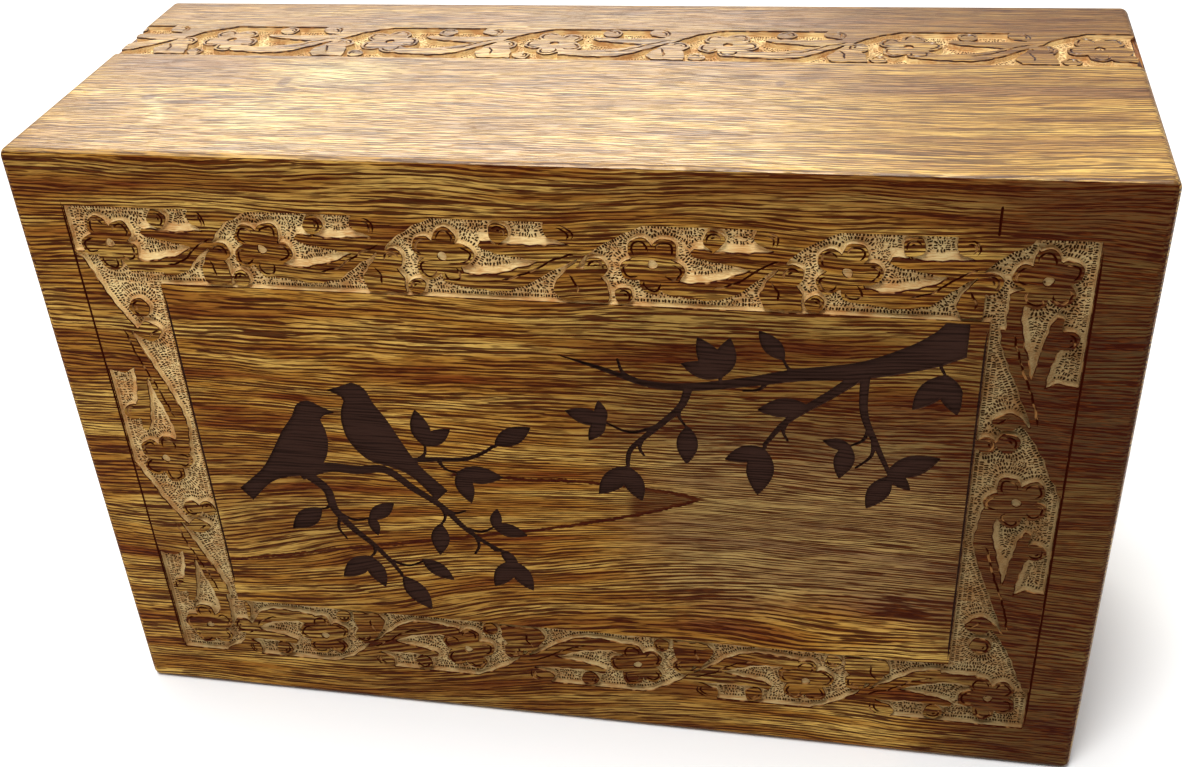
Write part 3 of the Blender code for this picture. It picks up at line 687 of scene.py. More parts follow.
class Field:
    """Signed distances to shapes on a square grid over a rectangle, more than 0 inside."""

    def __init__(self, low, high, step=FIELD_STEP):
        self.low, self.step = Vector(low), step
        self.columns = int(math.ceil((high[0] - low[0]) / step)) + 1
        self.rows = int(math.ceil((high[1] - low[1]) / step)) + 1
        self.values = np.full((self.rows, self.columns), -FIELD_REACH)

    def grid(self, columns=slice(None), rows=slice(None)):
        x = self.low.x + self.step * np.arange(self.columns)[columns]
        y = self.low.y + self.step * np.arange(self.rows)[rows]
        return np.meshgrid(x, y)

    def window(self, points):
        """The rows and columns that lie within reach of some points."""
        first = np.floor((points.min(0) - FIELD_REACH - self.low) / self.step).astype(int)
        last = np.ceil((points.max(0) + FIELD_REACH - self.low) / self.step).astype(int) + 1
        first, last = np.maximum(first, 0), np.clip(last, 0, (self.columns, self.rows))
        return slice(first[1], last[1]), slice(first[0], last[0])

    def add(self, outline):
        """Joins the inside of a closed outline to the shape."""
        points = np.array([(p[0], p[1]) for p in outline])
        window = self.window(points)
        x, y = self.grid(window[1], window[0])
        nearest = np.full(x.shape, FIELD_REACH**2)
        turns = np.zeros(x.shape, dtype=int)
        for a, b in zip(points, np.roll(points, -1, 0)):
            if abs(b - a).max() < TINY:
                continue
            np.minimum(nearest, squared_distance(x, y, a, b), out=nearest)
            side = (b[0] - a[0]) * (y - a[1]) - (b[1] - a[1]) * (x - a[0])
            turns += ((a[1] <= y) & (y < b[1]) & (side > 0)).astype(int)
            turns -= ((b[1] <= y) & (y < a[1]) & (side < 0)).astype(int)
        signed = np.where(turns != 0, 1, -1) * np.sqrt(nearest)
        self.values[window] = np.maximum(self.values[window], signed)

    def at(self, points):
        """The distance at each of many points, and the direction in which it grows."""
        points = np.asarray(points, dtype=float).reshape(-1, 2)
        place = (points - np.array(self.low)) / self.step
        place = np.clip(place, 0, (self.columns - 1.001, self.rows - 1.001))
        cell = place.astype(int)
        part = place - cell
        i, j = cell[:, 1], cell[:, 0]
        s, t = part[:, 0], part[:, 1]
        a, b = self.values[i, j], self.values[i, j + 1]
        c, d = self.values[i + 1, j], self.values[i + 1, j + 1]
        value = a * (1 - s) * (1 - t) + b * s * (1 - t) + c * (1 - s) * t + d * s * t
        grow = np.stack(((b - a) * (1 - t) + (d - c) * t, (c - a) * (1 - s) + (d - b) * s), 1)
        grow /= np.maximum(np.linalg.norm(grow, axis=1, keepdims=True), TINY)
        return value, grow

    def contour(self, level):
        """The points and the short edges where the distance passes a level."""
        above = self.values > level
        spots, known, edges = [], {}, []

        def crossing(i, j, across):
            key = (i, j, across)
            if key not in known:
                v, w = self.values[i, j], self.values[(i, j + 1) if across else (i + 1, j)]
                part = min(max((level - v) / (w - v), 0.02), 0.98)
                step = Vector((part, 0)) if across else Vector((0, part))
                known[key] = len(spots)
                spots.append(self.low + self.step * (Vector((j, i)) + step))
            return known[key]

        cells = above[:-1, :-1].astype(int) + above[:-1, 1:] + above[1:, :-1] + above[1:, 1:]
        for i, j in zip(*np.nonzero((cells > 0) & (cells < 4))):
            a, b, c, d = above[i, j], above[i, j + 1], above[i + 1, j + 1], above[i + 1, j]
            sides = []
            if a != b:
                sides.append(crossing(i, j, True))
            if b != c:
                sides.append(crossing(i, j + 1, False))
            if c != d:
                sides.append(crossing(i + 1, j, True))
            if d != a:
                sides.append(crossing(i, j, False))
            if len(sides) == 2:
                edges.append(tuple(sides))
            elif self.values[i : i + 2, j : j + 2].mean() > level == bool(a):
                edges += [(sides[0], sides[1]), (sides[2], sides[3])]
            else:
                edges += [(sides[3], sides[0]), (sides[1], sides[2])]
        return spots, edges


def simpler(run, tolerance):
    """A run of points without those that lie almost on the line between others."""
    kept = [False] * len(run)
    kept[0] = kept[-1] = True
    spans = [(0, len(run) - 1)]
    while spans:
        first, last = spans.pop()
        line = run[last] - run[first]
        side = Vector((-line.y, line.x)).normalized() if line.length > 1e-6 else None
        worst, where = tolerance, None
        for i in range(first + 1, last):
            away = run[i] - run[first]
            miss = abs(away.dot(side)) if side else away.length
            if miss > worst:
                worst, where = miss, i
        if where is not None:
            kept[where] = True
            spans += [(first, where), (where, last)]
    return [point for point, keep in zip(run, kept) if keep]


def chains(spots, edges):
    """Edges joined end to end into runs of points."""
    near = {}
    for a, b in edges:
        near.setdefault(a, []).append(b)
        near.setdefault(b, []).append(a)
    runs = []
    starts = [k for k, v in near.items() if len(v) == 1] + list(near)
    for start in starts:
        while near[start]:
            run, here = [start], start
            while near[here]:
                following = near[here].pop()
                near[following].remove(here)
                run.append(following)
                here = following
            runs.append([spots[k] for k in run])
    return runs


# Carving on one face


class Carving:
    """The points, creases and depths of one face laid flat, between two of its corners.

    Faces are made between the points later. A point may bring its own depth, and any other gets the
    depth of the carving where it lies.
    """

    def __init__(self, low, high):
        self.points, self.edges, self.own = [], [], []
        self.low, self.high = Vector(low), Vector(high)
        self.taken = set()

    def held(self, point):
        """A point of the face, or the nearest on its edge for one that lies past or almost on it."""
        snapped = Vector((point[0], point[1]))
        for k in (0, 1):
            if snapped[k] < self.low[k] + EDGE_SNAP:
                snapped[k] = self.low[k]
            elif snapped[k] > self.high[k] - EDGE_SNAP:
                snapped[k] = self.high[k]
        return snapped

    def add(self, points, edges=(), depths=None):
        start = len(self.points)
        self.points += [self.held(p) for p in points]
        self.own += list(depths) if depths is not None else [None] * len(points)
        self.edges += [(start + a, start + b) for a, b in edges]

    def add_run(self, points, depths=None, closed=False):
        count = len(points)
        edges = [(i, (i + 1) % count) for i in range(count if closed else count - 1)]
        self.add(points, edges, depths)

    @staticmethod
    def cell(point):
        return round(point[0] / CELL), round(point[1] / CELL)

    def take(self, point):
        """Keeps others off a small cell."""
        self.taken.add(self.cell(point))

    def is_free(self, point):
        return self.cell(point) not in self.taken


def chatter(x, y):
    """The unevenness of a ground that was cut by hand, from -1 to 1."""
    return (
        np.sin(1.9 * x + 1.1 * np.sin(0.9 * y)) * np.sin(1.6 * y + 0.8 * np.sin(1.1 * x)) * 0.6
        + np.sin(0.53 * x - 0.41 * y) * 0.4
    )


def ground_depth(distance, x, y, slope=None):
    """The depth of the carving by the distance from its edge, less over a broad slope."""
    floor = CARVED_DEPTH - GROUND_RISE + GROUND_CHATTER * chatter(x, y)
    depth = floor * np.clip(distance / WALL_RUN, 0, 1)
    if slope is not None:
        depth = np.where(distance > 0, np.minimum(depth, SLOPE_START + floor * slope / LEAF_SLOPE), depth)
    return depth


def rows_of_ticks(carving, hollow, slopes, rng):
    """Short gouge cuts in rows along the edges of the hollows, each square to its edge."""
    for level in TICK_ROWS:
        for run in chains(*hollow.contour(level)):
            travelled = rng.uniform(0.2, 0.9) * TICK_PITCH
            for a, b in zip(run, run[1:]):
                travelled -= (b - a).length
                if travelled > 0:
                    continue
                travelled += TICK_PITCH * rng.uniform(*TICK_SPREAD)
                try_tick(carving, hollow, slopes, a.lerp(b, 0.5), rng)


def try_tick(carving, hollow, slopes, spot, rng):
    """Lays one tick, shorter where a long one has no room, and says whether it did."""
    _, grow = hollow.at([spot])
    along = Matrix.Rotation(rng.uniform(-TICK_TURN, TICK_TURN), 2) @ Vector(grow[0])
    on_slope, _ = slopes.at([spot])
    if along.length < 0.5 or on_slope[0] < LEAF_SLOPE * SLOPE_CLEAR:
        return False
    length = TICK_LENGTH * rng.uniform(*TICK_SPREAD)
    width = TICK_WIDTH * rng.uniform(*TICK_SPREAD)
    return any(lay_tick(carving, hollow, spot, along, length * share, width) for share in TICK_SHARES)


def lay_tick(carving, hollow, spot, along, length, width):
    """Lays a tick, deep in its middle, if there is room for it, and says whether there was."""
    side = Vector((-along.y, along.x)) * width / 2
    ends = [spot - along * length / 2, spot + along * length / 2]
    inner = [spot - along * length * TICK_BELLY, spot + along * length * TICK_BELLY]
    outline = [ends[0], inner[0] - side, inner[1] - side, ends[1], inner[1] + side, inner[0] + side]
    distance, _ = hollow.at(outline)
    if distance.min() < WALL_RUN + TICK_CLEAR or not all(carving.is_free(p) for p in (spot, *inner)):
        return False
    for p in (spot, *inner):
        carving.take(p)
    carving.add_run(outline, closed=True)
    here, _ = hollow.at(inner)
    x, y = np.array([p.x for p in inner]), np.array([p.y for p in inner])
    carving.add_run(inner, depths=[float(d) + TICK_DEPTH for d in ground_depth(here, x, y)])
    return True


def cut_grooves(carving, hollow, runs, width=GROOVE_WIDTH, depth=GROOVE_DEPTH):
    """Fine V cuts along runs of points, where they lie on wood that stands."""
    for run in runs:
        kept = []
        distance, _ = hollow.at(run)
        for point, d in zip(run, distance):
            if d < -GROOVE_CLEAR - width / 2:
                kept.append(point)
            else:
                lay_groove(carving, kept, width, depth)
                kept = []
        lay_groove(carving, kept, width, depth)


def lay_groove(carving, run, width=GROOVE_WIDTH, depth=GROOVE_DEPTH):
    """One V cut along a run, narrow and shallow at both ends."""
    if len(run) < GROOVE_LEAST:
        return
    left, right, depths = [], [], []
    for i, point in enumerate(run):
        along = (run[min(i + 1, len(run) - 1)] - run[max(i - 1, 0)]).normalized()
        side = Vector((-along.y, along.x)) * width / 2
        fade = min(1.0, i / 2, (len(run) - 1 - i) / 2)
        left.append(point + side * max(fade, GROOVE_END))
        right.append(point - side * max(fade, GROOVE_END))
        depths.append(depth * fade)
    carving.add_run(left, depths=[0.0] * len(left))
    carving.add_run(right, depths=[0.0] * len(right))
    carving.add_run(run, depths=depths)


def carved_ground(carving, hollow, slopes, rng):
    """The contours of the hollows and the points of their uneven ground."""
    for level in (0.0, WALL_RUN):
        for run in chains(*hollow.contour(level)):
            carving.add_run(simpler(run, CONTOUR_MISS))
    rows_of_ticks(carving, hollow, slopes, rng)
    x, y = hollow.grid()
    inside = hollow.values > WALL_RUN + GROUND_CLEAR
    stride = GROUND_STEP / hollow.step
    for i in range(int(hollow.rows / stride)):
        for j in range(int(hollow.columns / stride)):
            r, c = int(i * stride), int((j + 0.5 * (i % 2)) * stride)
            if c < hollow.columns and inside[r, c]:
                spot_x = x[r, c] + rng.uniform(-GROUND_SCATTER, GROUND_SCATTER)
                spot_y = y[r, c] + rng.uniform(-GROUND_SCATTER, GROUND_SCATTER)
                spot = Vector((spot_x, spot_y))
                clear = all(carving.is_free(spot + Vector((a, 0))) for a in (0, GROUND_REACH, -GROUND_REACH))
                if clear and not try_tick(carving, hollow, slopes, spot, rng):
                    carving.add([spot])


# Boards


class Board:
    """A board's outside laid flat: u across, v up and n outwards, each along a side of the box.

    A board with a foot stands on the floor: its lower edge is rounded right under, and its inside
    has the rebate of the plate.
    """

    def __init__(self, name, u, n, has_foot=True):
        self.name = name
        self.u, self.n = Vector(u), Vector(n)
        self.v = self.n.cross(self.u)
        size = Vector((WIDTH, DEPTH, HEIGHT))
        self.half_u = abs(size.dot(self.u)) / 2
        self.half_v = abs(size.dot(self.v)) / 2
        self.half_n = abs(size.dot(self.n)) / 2
        self.has_foot = has_foot
        self.flat_u = self.half_u - EDGE_RADIUS
        self.flat_v = self.half_v - EDGE_RADIUS
        self.raised = HEIGHT / 2 if has_foot else 0.0
        turn = math.pi / 4 - JOINT_TURN
        self.reach_u = self.flat_u + EDGE_RADIUS * turn
        self.top = self.flat_v + EDGE_RADIUS * turn
        self.bottom = -self.flat_v - EDGE_RADIUS * (math.pi / 2 if has_foot else turn)
        self.middle = Vector((0, 0, HEIGHT / 2))

    def bare_face(self):
        """The laid-out face with nothing on it yet."""
        low, high = self.raised + self.bottom, self.raised + self.top
        return Carving((-self.reach_u, low), (self.reach_u, high))

    def wrapped(self, points, depths):
        """Points of the laid-out face in space, each sunk by its depth."""
        p = np.asarray(points, dtype=float)
        flat_u = np.clip(p[:, 0], -self.flat_u, self.flat_u)
        flat_v = np.clip(p[:, 1] - self.raised, -self.flat_v, self.flat_v)
        turn_u = (p[:, 0] - flat_u) / EDGE_RADIUS
        turn_v = (p[:, 1] - self.raised - flat_v) / EDGE_RADIUS
        out = np.stack((np.tan(turn_u), np.tan(np.clip(turn_v, -MOST_TURN, MOST_TURN)), np.ones(len(p))), 1)
        out /= np.linalg.norm(out, axis=1, keepdims=True)
        if self.has_foot:
            foot = turn_v < 0
            fall = np.clip(-turn_v[foot], 0, math.pi / 2)
            out[foot] = np.stack(
                (np.cos(fall) * np.sin(turn_u[foot]), -np.sin(fall), np.cos(fall) * np.cos(turn_u[foot])), 1
            )
        reach = np.minimum(EDGE_RADIUS, (EDGE_RADIUS - np.asarray(depths)) / np.maximum(out[:, 2], 1e-6))
        reach = np.where(np.asarray(depths) > 0, reach, EDGE_RADIUS)
        local = np.stack((flat_u, flat_v, np.full(len(p), self.half_n - EDGE_RADIUS)), 1)
        local += out * reach[:, None]
        axes = np.array([self.u, self.v, self.n])
        return local @ axes + np.array(self.middle)

    def inner(self, u_side, v_side, depth, v_at=None):
        """A corner of the board's inside: at the mitre of that side and this deep below the face."""
        gap = EDGE_RADIUS * JOINT_TURN * math.sqrt(2)
        u = u_side * (self.half_u - depth - gap)
        v = v_side * (self.half_v - depth - gap) if v_at is None else v_at
        return self.middle + self.u * u + self.v * v + self.n * (self.half_n - depth)


def edge_rows(flat, reach):
    """The rows over a rounded edge, from the flat part out."""
    return [flat + (reach - flat) * i / EDGE_ROWS for i in range(EDGE_ROWS + 1)]


def lay_plain(carving, board, spacing, keep_clear=None):
    """Plain points: rows over the rounded edges and a sparse grid on the flat."""
    across = edge_rows(board.flat_u, board.reach_u)
    columns = [-u for u in across[::-1]] + across
    up = [v + board.raised for v in edge_rows(board.flat_v, board.top)]
    down = [board.raised - v for v in edge_rows(board.flat_v, -board.bottom)]
    rows = down[::-1] + up
    count_u = max(2, round(2 * board.flat_u / spacing))
    count_v = max(2, round(2 * board.flat_v / spacing))
    inner_u = [board.flat_u * (2 * i / count_u - 1) for i in range(1, count_u)]
    inner_v = [board.raised + board.flat_v * (2 * i / count_v - 1) for i in range(1, count_v)]
    all_u = sorted(set(columns + inner_u))
    all_v = sorted(set(rows + inner_v))
    for u in columns:
        carving.add_run([(u, v) for v in all_v])
    for v in rows:
        carving.add_run([(u, v) for u in all_u])
    spots = [(u, v) for u in inner_u for v in inner_v]
    if keep_clear is not None:
        distance, _ = keep_clear.at(spots)
        spots = [s for s, d in zip(spots, distance) if d < -PLAIN_CLEAR or abs(d) >= FIELD_REACH]
    carving.add(spots)


def board_mesh(board, carving, depth_at, post=None):
    """The whole board as one closed mesh: its carved outside, its mitres and its inside.

    depth_at gives the depth of the carving at points of the flat face, and post may move the points
    once they are wrapped.
    """
    points, edges = carving.points, carving.edges
    spots, _, faces, origins, *_ = delaunay_2d_cdt(points, edges, [], 0, MERGE)
    flat = np.array([(p.x, p.y) for p in spots])
    depths = depth_at(flat)
    for i, sources in enumerate(origins):
        own = [carving.own[k] for k in sources if carving.own[k] is not None]
        if own:
            depths[i] = max(own)
    placed = board.wrapped(flat, depths)
    if post is not None:
        placed = post(placed)
    bm = bmesh.new()
    verts = [bm.verts.new(p * MM) for p in placed]
    for face in faces:
        if len(set(face)) == len(face):
            bm.faces.new([verts[i] for i in face])
    loose = [v for v in bm.verts if not v.link_faces]
    bmesh.ops.delete(bm, geom=loose, context="VERTS")

    def border(values, value, order):
        found = [i for i in range(len(flat)) if abs(values[i] - value) < ON_EDGE and verts[i].is_valid]
        return [verts[i] for i in sorted(found, key=lambda i: flat[i, order])]

    left = border(flat[:, 0], -board.reach_u, 1)
    right = border(flat[:, 0], board.reach_u, 1)
    top = border(flat[:, 1], board.raised + board.top, 0)
    bottom = border(flat[:, 1], board.raised + board.bottom, 0)

    # The inside's corners at each end, from the lowest up
    corners = [(-1, WALL), (1, WALL)]
    if board.has_foot:
        ledge, foot = WALL - REBATE_WIDTH, -board.half_v
        step = foot + REBATE_DEPTH
        corners = [(0, ledge, foot), (0, ledge, step), (0, WALL, step), (1, WALL)]
    first, last = ([bm.verts.new(board.inner(s, *corner) * MM) for corner in corners] for s in (-1, 1))
    bm.faces.new(left[::-1] + first)
    bm.faces.new(right + last[::-1])
    bm.faces.new(top[::-1] + [first[-1], last[-1]])
    bm.faces.new(bottom + [last[0], first[0]])
    for k in range(len(corners) - 1):
        bm.faces.new([last[k], last[k + 1], first[k + 1], first[k]])
    bmesh.ops.remove_doubles(bm, verts=bm.verts, dist=WELD * MM)
    bmesh.ops.recalc_face_normals(bm, faces=bm.faces)
    bmesh.ops.triangulate(bm, faces=[f for f in bm.faces if len(f.verts) > 4])
    return finished(board.name, bm)


def finished(name, bm, sharp=SHARP):
    """A smooth object named as its piece, with the creases past a turn in degrees kept sharp."""
    for face in bm.faces:
        face.smooth = True
    for edge in bm.edges:
        if len(edge.link_faces) != 2 or edge.calc_face_angle(0) > math.radians(sharp):
            edge.smooth = False
    made = solid(name, bm)
    made.name = PIECES.get(name, f"steel_{name}")
    return made


def plain_board(board):
    carving = board.bare_face()
    lay_plain(carving, board, PLAIN_SPACING)
    return board_mesh(board, carving, lambda flat: np.zeros(len(flat)))


BAND_MIDDLE = DEPTH / 2 - BAND_FROM_BACK


def side_board(board):
    """A side whose upper rounded edge is notched where the top band runs out."""
    carving = board.bare_face()
    lay_plain(carving, board, PLAIN_SPACING)
    facing = board.u.y
    walls = [facing * (BAND_MIDDLE + s * BAND_WIDTH / 2) for s in (-1, 1)]
    lines = [w + s * WALL_RUN / 2 for w in walls for s in (-1, 1)]
    rows = [v + board.raised for v in edge_rows(board.flat_v, board.top)]
    for u in lines:
        carving.add_run([(u, v) for v in (board.raised + board.flat_v - 1, *rows)])
    between = [min(walls) + BAND_WIDTH * i / NOTCH_STEPS for i in range(1, NOTCH_STEPS)]
    carving.add([(u, v) for u in between for v in rows])
    floor = HEIGHT - CARVED_DEPTH
    corner = np.array((board.n.x * (WIDTH / 2 - EDGE_RADIUS), HEIGHT - EDGE_RADIUS))

    def notched(placed):
        inside = BAND_WIDTH / 2 - np.abs(placed[:, 1] - BAND_MIDDLE)
        share = np.clip(inside / WALL_RUN + 0.5, 0, 1)
        out = placed[:, [0, 2]] - corner
        over = (placed[:, 2] > floor) & (share > 0)
        ratio = np.where(over, (floor - corner[1]) / np.maximum(out[:, 1], 1e-6), 1)
        ratio = 1 + (ratio - 1) * share
        placed[:, 0] = np.where(over, corner[0] + out[:, 0] * ratio, placed[:, 0])
        placed[:, 2] = np.where(over, corner[1] + out[:, 1] * ratio, placed[:, 2])
        return placed

    return board_mesh(board, carving, lambda flat: np.zeros(len(flat)), notched)


def hollows_of(units, low, high):
    """How far inside the units' hollows, and off their flowers and berries, a face's points are."""
    hollow, island = Field(low, high), Field(low, high)
    for unit in units:
        for outline in unit.hollows():
            hollow.add(outline)
        for outline in unit.islands():
            island.add(outline)
    hollow.values = np.minimum(hollow.values, -island.values)
    return hollow


def slopes_of(units, low, high):
    """How far each point is from the nearest broad slope of the units, up to a field's reach."""
    slopes = Field(low, high, SLOPE_STEP)
    x, y = slopes.grid()
    found = np.full(x.shape, FIELD_REACH**2)
    for run in (np.array(run) for unit in units for run in unit.slopes()):
        for a, b in zip(run, run[1:]):
            window = slopes.window(np.array((a, b)))
            found[window] = np.minimum(found[window], squared_distance(x[window], y[window], a, b))
    slopes.values = np.sqrt(found)
    return slopes


def eyes_and_grooves(carving, hollow, units, inside, rng):
    for unit in units:
        cut_grooves(carving, hollow, [run for run in unit.grooves(rng) if all(map(inside, run))])
        nicks = [run for run in unit.nicks() if all(map(inside, run))]
        cut_grooves(carving, hollow, nicks, NICK_WIDTH, 2 * GROOVE_DEPTH)
        eye = unit.eye()
        if all(map(inside, eye)):
            middle = sum(eye, Vector((0, 0))) / len(eye)
            carving.add_run(eye, depths=[0.0] * len(eye), closed=True)
            for share, depth in EYE_RINGS:
                ring = [middle.lerp(p, share) for p in eye]
                carving.add_run(ring, depths=[depth] * len(ring), closed=True)


def inside_rectangle(field, low, high):
    """How far inside a rectangle's nearest side each point of a field is."""
    x, y = field.grid()
    return np.minimum(np.minimum(x - low.x, high.x - x), np.minimum(y - low.y, high.y - y))


def front_board(board):
    low, high, inner_low, inner_high = border_rectangles()
    rng = random.Random(7)
    units = border_units()
    spill = Vector((PATTERN_SPILL, PATTERN_SPILL))
    hollow = hollows_of(units, low - spill, high + spill)
    border, panel = inside_rectangle(hollow, low, high), inside_rectangle(hollow, inner_low, inner_high)
    cut = np.minimum(hollow.values, np.minimum(border, -panel))
    hollow.values = np.clip(cut, -FIELD_REACH, FIELD_REACH)
    slopes = slopes_of(units, low, high)

    picture = Field(inner_low, inner_high, PICTURE_STEP)
    for outline in picture_outlines():
        picture.add(outline)
    window_low = inner_low + Vector((PICTURE_GAP, PICTURE_GAP))
    window_high = inner_high - Vector((PICTURE_RIGHT_GAP, PICTURE_GAP))
    picture.values = np.minimum(picture.values, inside_rectangle(picture, window_low, window_high))

    carving = board.bare_face()
    lay_plain(carving, board, CARVED_SPACING, hollow)
    carved_ground(carving, hollow, slopes, rng)
    eyes_and_grooves(carving, hollow, units, lambda p: True, rng)
    for level in (0.0, PICTURE_WALL):
        for run in chains(*picture.contour(level)):
            carving.add_run(simpler(run, CONTOUR_MISS))
    for x, below, above in scribed_lines():
        heights = [below + (above - below) * i / SCRIBED_STEPS for i in range(SCRIBED_STEPS + 1)]
        lay_groove(carving, [Vector((x, height)) for height in heights], SCRIBED_WIDTH)

    def depth_at(flat):
        distance, _ = hollow.at(flat)
        slope, _ = slopes.at(flat)
        depth = ground_depth(distance, flat[:, 0], flat[:, 1], slope)
        inside = (flat > np.array(low)).all(1) & (flat < np.array(high)).all(1)
        depth = np.where(inside, depth, 0)
        burnt, _ = picture.at(flat)
        in_panel = (flat > np.array(inner_low)).all(1) & (flat < np.array(inner_high)).all(1)
        sunk = PICTURE_DEPTH * np.clip(burnt / PICTURE_WALL, 0, 1)
        return np.where(in_panel, sunk, depth)

    return board_mesh(board, carving, depth_at)


def top_board(board):
    rng = random.Random(19)
    units = band_units()
    low = Vector((-board.reach_u, BAND_MIDDLE - BAND_WIDTH / 2 - PATTERN_SPILL))
    high = Vector((board.reach_u, BAND_MIDDLE + BAND_WIDTH / 2 + PATTERN_SPILL))
    hollow = hollows_of(units, low, high)
    x, y = hollow.grid()
    band = BAND_WIDTH / 2 - np.abs(y - BAND_MIDDLE)
    ends = np.abs(x) - (WIDTH / 2 - BAND_END)
    cut = np.minimum(np.maximum(hollow.values, ends), band)
    hollow.values = np.clip(cut, -FIELD_REACH, FIELD_REACH)
    slopes = slopes_of(units, low, high)

    carving = board.bare_face()
    lay_plain(carving, board, CARVED_SPACING, hollow)
    carved_ground(carving, hollow, slopes, rng)
    eyes_and_grooves(carving, hollow, units, lambda p: abs(p.x) < WIDTH / 2 - BAND_CLEAR, rng)

    def depth_at(flat):
        distance, _ = hollow.at(flat)
        slope, _ = slopes.at(flat)
        depth = ground_depth(distance, flat[:, 0], flat[:, 1], slope)
        return np.where(np.abs(flat[:, 1] - BAND_MIDDLE) < BAND_WIDTH / 2, depth, 0)

    return board_mesh(board, carving, depth_at)


# The plate and its screws


def solid(name, bm):
    """An object of the scene with a mesh's shape."""
    mesh = bpy.data.meshes.new(name)
    bm.to_mesh(mesh)
    bm.free()
    made = bpy.data.objects.new(name, mesh)
    bpy.context.scene.collection.objects.link(made)
    return made


def box_solid(name, low, high):
    bm = bmesh.new()
    bmesh.ops.create_cube(bm, size=1)
    size = Vector(high) - Vector(low)
    bmesh.ops.scale(bm, vec=size * MM, verts=bm.verts)
    bmesh.ops.translate(bm, vec=(Vector(high) + Vector(low)) / 2 * MM, verts=bm.verts)
    return solid(name, bm)


def turned_solid(name, profile, x, y):
    """A solid turned about a vertical axis from (radius, z) pairs that begin and end on the axis."""
    bm = bmesh.new()
    verts = [bm.verts.new(((x + r) * MM, y * MM, z * MM)) for r, z in profile]
    edges = [bm.edges.new(pair) for pair in zip(verts, verts[1:])]
    bmesh.ops.spin(
        bm, geom=verts + edges, cent=(x * MM, y * MM, 0), axis=(0, 0, 1),
        angle=2 * math.pi, steps=ROUND_SIDES, use_merge=True,
    )
    bmesh.ops.remove_doubles(bm, verts=bm.verts, dist=WELD * MM)
    bmesh.ops.recalc_face_normals(bm, faces=bm.faces)
    return solid(name, bm)


def cut_away(body, tools, name):
    """The body less its tools, as a finished object. The body and the tools are removed."""
    for tool in tools:
        step = body.modifiers.new(tool.name, "BOOLEAN")
        step.operation, step.object, step.solver = "DIFFERENCE", tool, "EXACT"
    evaluated = body.evaluated_get(bpy.context.evaluated_depsgraph_get())
    bm = bmesh.new()
    bm.from_mesh(evaluated.to_mesh())
    for each in (body, *tools):
        bpy.data.objects.remove(each, do_unlink=True)
    bmesh.ops.remove_doubles(bm, verts=bm.verts, dist=WELD / 2 * MM)
    return finished(name, bm, SHARP_SMALL)


def screw_spots():
    x = WIDTH / 2 - SCREW_INSET_X
    y = DEPTH / 2 - WALL + REBATE_WIDTH / 2
    return [
        (f"screw_{end}_{side}", sx * x, sy * y)
        for end, sy in (("front", -1), ("back", 1))
        for side, sx in (("left", -1), ("right", 1))
    ]


def make_plate():
    x = WIDTH / 2 - WALL + REBATE_WIDTH - PLATE_GAP
    y = DEPTH / 2 - WALL + REBATE_WIDTH - PLATE_GAP
    plate = box_solid("plate", (-x, -y, 0), (x, y, PLATE_THICKNESS))
    eased = plate.modifiers.new("eased edges", "BEVEL")
    eased.width, eased.segments = PLATE_EASED * MM, 3
    head, shank = SCREW_HEAD / 2 + SCREW_GAP, SCREW_SHANK / 2 + SCREW_GAP
    neck = SCREW_SUNK + head - shank
    above = PLATE_THICKNESS + PAST
    profile = ((0, above), (shank, above), (shank, neck), (head, SCREW_SUNK), (head, -PAST), (0, -PAST))
    tools = [turned_solid(name + "_hole", profile, x, y) for name, x, y in screw_spots()]
    return cut_away(plate, tools, "bottom_plate")


def make_screw(name, x, y):
    """A countersunk screw that points up, with a cross in its head and a thread on its shank."""
    head, shank = SCREW_HEAD / 2, SCREW_SHANK / 2
    neck = SCREW_SUNK + head - shank
    tip = SCREW_SUNK + SCREW_LENGTH
    profile = [(0, tip)]
    for i in range(THREAD_TURNS):
        z = tip - TIP_BARE - (tip - neck - SHANK_BARE) * i / THREAD_TURNS
        full = shank * min(1.0, (tip - z) / SCREW_TIP + TIP_SHARE)
        profile += [(full * THREAD_ROOT, z), (full, z - THREAD_EDGE)]
    profile += [(shank * SHANK_ROOT, neck + above) for above in (NECK_START, NECK_END)]
    profile += [(shank, neck), *[(head - less, SCREW_SUNK + above) for less, above in HEAD_EASED]]
    profile.append((0, SCREW_SUNK))
    body = turned_solid(name + "_body", profile, x, y)
    half, thin, top = CROSS_LENGTH / 2, CROSS_WIDTH / 2, SCREW_SUNK + CROSS_DEPTH
    tools = [
        box_solid(f"{name}_{label}", (x - dx, y - dy, -PAST), (x + dx, y + dy, top))
        for label, dx, dy in (("long", half, thin), ("wide", thin, half))
    ]
    return cut_away(body, tools, name)


# Finishes


